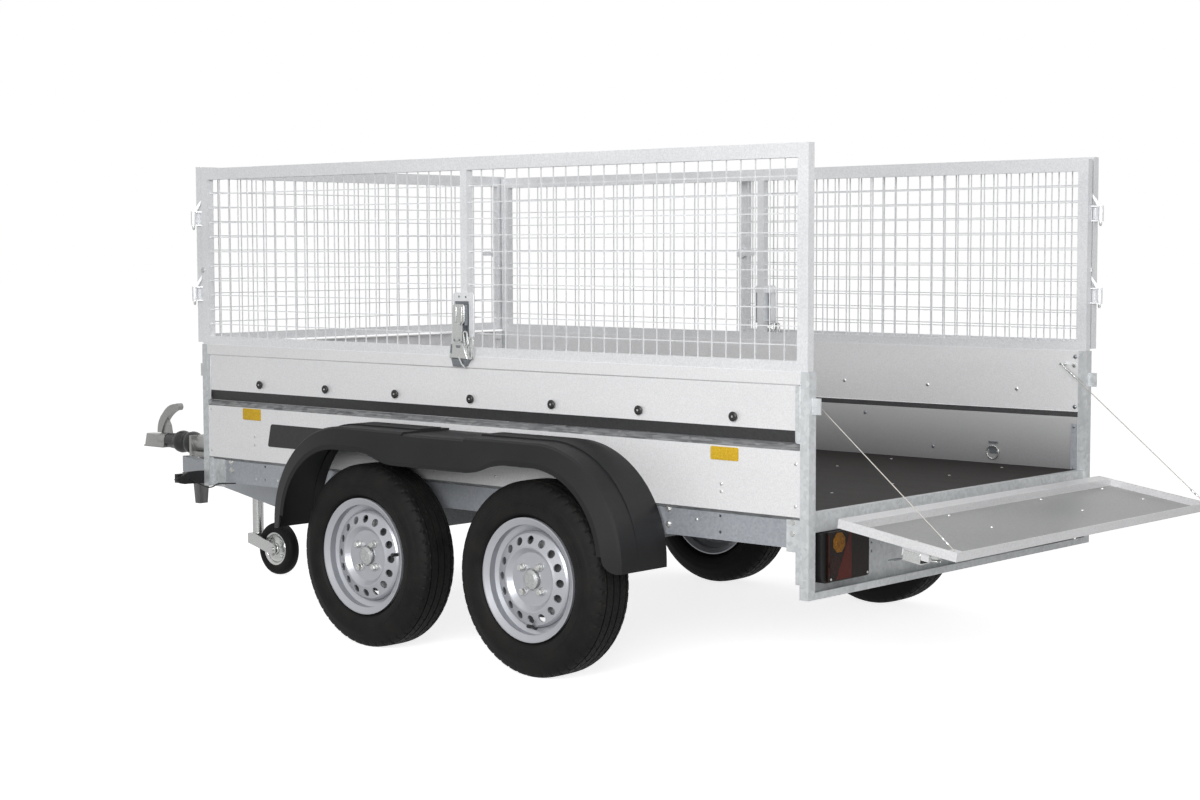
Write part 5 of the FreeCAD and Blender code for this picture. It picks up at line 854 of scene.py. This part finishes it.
for edge, side in ((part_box("mesh_left")[1].x, 1), (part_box("mesh_right")[0].x, -1)):
    root = Vector((edge - side * POST_IN, side * MESH_EDGE, 0))
    pin = root + side * Vector((PIN_ALONG, PIN_SIDE, 0))
    reach = (pin - root).normalized()
    for level in HINGE_LEVELS:
        place = stand(root + Z * (level + KNUCKLE_TALL + 0.002), reach, Z, reach.cross(Z))
        press(straps, STRAP, STRAP_THICK, place, -STRAP_THICK / 2)
        turn(tails, PIN_TAIL, pin + Z * (level - 0.001), -Z, 14)
    turn(tails, STOP_BUTTON, root + Vector((side * -0.006, side * -0.001, STOP_LEVEL)), side * Y, 18)
new_piece("hinge_straps", straps, mesh_zinc, edge=0.0006)
new_piece("hinge_pin_tails", tails, plated)

# Inside of the boards: a dark grey strip in the recessed joint between them and a thin galvanised skin over
# the lower board, both painted shade, the skin darker still towards the floor; and their rivets and corner
# plates. Strip and skin both run the length of the bed, and the skin is riveted on.
BED_BACK, BED_FRONT, JOINT_LOW, JOINT_TALL, SHEET_SKIN = 0.032, 2.578, 0.7035, 0.016, 0.0004
SHEET_RIVETS = ((0.573, 0.578), (0.85, 0.678), (1.75, 0.678), (2.03, 0.578))
HOOK_BOLTS = ((0.042, 0.896), (0.042, 0.736))
CORNER_RIVETS = ((0.043, 0.672), (0.043, 0.54))
# Each pressing's outline and thickness, and how far its back stands off the board.
JOINT_SHADE_STRIP = oblong(BED_BACK, BED_FRONT, JOINT_LOW, JOINT_LOW + JOINT_TALL), 0.0035, -0.0058
INNER_SHEET = oblong(BED_BACK, BED_FRONT, 0.526, JOINT_LOW - 0.001), SHEET_SKIN, 0
CORNER_PLATE = rounded(0.021, 0.152, 0.003, 3, 0.0325, 0.53), 0.002, SHEET_SKIN
# Painted shade: the skin is darker than the boards and darkens further towards the floor, by height.
inner_sheet_painted_shade, tree, shader = new_finish("inner_sheet_painted_shade", (0.3, 0.3, 0.305), 0.1, 0.5)
place_of = tree.nodes.new("ShaderNodeTexCoord")
parts = tree.nodes.new("ShaderNodeSeparateXYZ")
tree.links.new(place_of.outputs["Object"], parts.inputs[0])
shade_climb = tree.nodes.new("ShaderNodeMapRange")
shade_climb.inputs["From Min"].default_value, shade_climb.inputs["From Max"].default_value = 0.53, 0.71
tree.links.new(parts.outputs["Z"], shade_climb.inputs["Value"])
grain = texture(tree, "Noise", 420, (1, 1, 1), 3)
tones(tree, shader, mixed(tree, shade_climb.outputs[0], grain, 0.28), (0.19, 0.19, 0.195), (0.46, 0.46, 0.465),
      0.15, 0.9)
strips, sheets, inner_rivets, corner_plates = (bmesh.new() for k in range(4))
for hand in BOTH:
    for mesh, (outline, thick, off) in ((strips, JOINT_SHADE_STRIP), (sheets, INNER_SHEET),
                                        (corner_plates, CORNER_PLATE)):
        press(mesh, outline, thick, stand((tail, hand * (board_inner - off), 0), X, Z, -hand * Y))
    for places, off, radius in ((SHEET_RIVETS, SHEET_SKIN, 0.0065), (HOOK_BOLTS, 0, 0.007),
                                (CORNER_RIVETS, SHEET_SKIN + 0.002, 0.0045)):
        for x, z in places:
            rivet(inner_rivets, (tail + x, hand * (board_inner - off), z), -hand * Y, radius)
# The sheet rivets are painted shade, in the darker copy of the plated zinc.
new_piece("sheet_rivets", inner_rivets, zinc_painted_shade)
new_piece("inner_corner_plates", corner_plates, frame_zinc)
# The joint strips are painted shade: a dark skin in the recessed joint between the boards.
new_piece("board_joint_shade_strips", strips, groove_shade_paint)
new_piece("lower_inner_shade_sheets", sheets, inner_sheet_painted_shade)

# Board feet: the slanted fold under each lower board, back to the side rail.
# Galvanised sheet, part of the board, streaked where the water runs off; its dark grey is painted shade on
# the downward-facing fold.
FOLD_TOP, FOLD_FOOT, FOLD_SKIN = Vector((0, 0.7485, 0.5245)), Vector((0, 0.7355, 0.5135)), 0.0012
feet = bmesh.new()
for hand in BOTH:
    top, foot = (Vector((0, hand * spot.y, spot.z)) for spot in (FOLD_TOP, FOLD_FOOT))
    rise = (top - foot).normalized()
    outward = Vector((0, hand * rise.z, -abs(rise.y)))
    press(feet, oblong(BED_BACK, BED_FRONT, 0, (top - foot).length), FOLD_SKIN,
          stand(foot + tail * X, X, rise, outward), -FOLD_SKIN)
new_piece("board_foot_folds", feet, groove_zinc_painted_shade)

# Studio: a white floor and white surroundings, a large soft key light, and weaker ones behind and above.
# The camera stands at the left rear corner, where the photograph was taken from.
FOCAL, SENSOR = 62.78, 36
EYE = Vector((tail - 3.3033, 5.2238, 1.2448))
YAW, PITCH, ROLL = -0.8347, 0.0725, -0.0024
FLOOR_REACH = 60
FLOOR_SEEN, FLOOR_LIT = (0.8, 0.8, 0.8), (0.24, 0.24, 0.24)
FLOOR_GLOW, FLOOR_MIRRORED = 0.8, 0.62
SKY_DIFFUSE, SKY_GLOSSY = 0.27, 0.88


def reckon(tree, operation, *terms):
    """A sum in a node tree; each term is a plain number or another node's output."""
    made = tree.nodes.new("ShaderNodeMath")
    made.operation = operation
    for slot, term in zip(made.inputs, terms):
        if isinstance(term, float):
            slot.default_value = term
        else:
            tree.links.new(term, slot)
    return made.outputs["Value"]


floor_white, tree, shader = new_finish("studio_floor", FLOOR_SEEN, 0, 0.9, 0.0)
path = tree.nodes.new("ShaderNodeLightPath")
paint = tree.nodes.new("ShaderNodeMix")
paint.data_type = "RGBA"
paint.inputs[6].default_value = (*FLOOR_LIT, 1)
paint.inputs[7].default_value = (*FLOOR_SEEN, 1)
tree.links.new(path.outputs["Is Camera Ray"], paint.inputs["Factor"])
tree.links.new(paint.outputs[2], shader.inputs["Base Color"])
mirrored = reckon(tree, "MULTIPLY", path.outputs["Is Glossy Ray"], FLOOR_MIRRORED)
glow = reckon(tree, "MULTIPLY_ADD", path.outputs["Is Camera Ray"], FLOOR_GLOW, mirrored)
shader.inputs["Emission Color"].default_value = (1, 1, 1, 1)
tree.links.new(glow, shader.inputs["Emission Strength"])
ground = bmesh.new()
bmesh.ops.create_grid(ground, x_segments=2, y_segments=2, size=FLOOR_REACH)
data = bpy.data.meshes.new("studio_floor")
ground.to_mesh(data)
ground.free()
data.materials.append(floor_white)
studio = put("studio_floor", data)
studio.location.z = -0.0005
world = bpy.data.worlds.new("studio")
bpy.context.scene.world = world
world.use_nodes = True
sky = world.node_tree
back = sky.nodes["Background"]
path = sky.nodes.new("ShaderNodeLightPath")
shiny = reckon(sky, "MAXIMUM", path.outputs["Is Glossy Ray"], path.outputs["Is Transmission Ray"])
soft = spread(sky, shiny, SKY_DIFFUSE, SKY_GLOSSY)
level = reckon(sky, "MAXIMUM", path.outputs["Is Camera Ray"], soft)
sky.links.new(level, back.inputs["Strength"])
back.inputs["Color"].default_value = (1, 1, 1, 1)


def softbox(name, spot, aim, width, height, power):
    """A large area lamp turned towards a point."""
    lamp = bpy.data.lights.new(name, "AREA")
    lamp.shape = "RECTANGLE"
    lamp.size, lamp.size_y = width, height
    lamp.energy = power
    holder = put(name, lamp)
    holder.location = spot
    holder.rotation_euler = (Vector(aim) - Vector(spot)).to_track_quat("-Z", "Y").to_euler()


softbox("key", (-4.0, 6.2, 2.6), (-0.3, 0, 0.8), 5, 2.6, 440)
softbox("rear", (-7.0, 0.5, 1.6), (-1.5, 0, 0.8), 4, 2, 70)
softbox("top", (0.5, 0.5, 5.5), (0, 0, 0.5), 5, 4, 55)
lens = bpy.data.cameras.new("camera")
lens.lens = FOCAL
lens.sensor_width = SENSOR
lens.sensor_fit = "HORIZONTAL"
lens.clip_end = 200
camera = put("camera", lens)
forward = Vector((math.cos(YAW) * math.cos(PITCH), math.sin(YAW) * math.cos(PITCH), -math.sin(PITCH)))
level_right = Vector((math.sin(YAW), -math.cos(YAW), 0))
upright = level_right.cross(forward)
right = level_right * math.cos(ROLL) + upright * math.sin(ROLL)
above = upright * math.cos(ROLL) - level_right * math.sin(ROLL)
camera.matrix_world = stand(EYE, right, above, -forward)
bpy.context.scene.camera = camera
bpy.context.scene.view_settings.view_transform = "Standard"
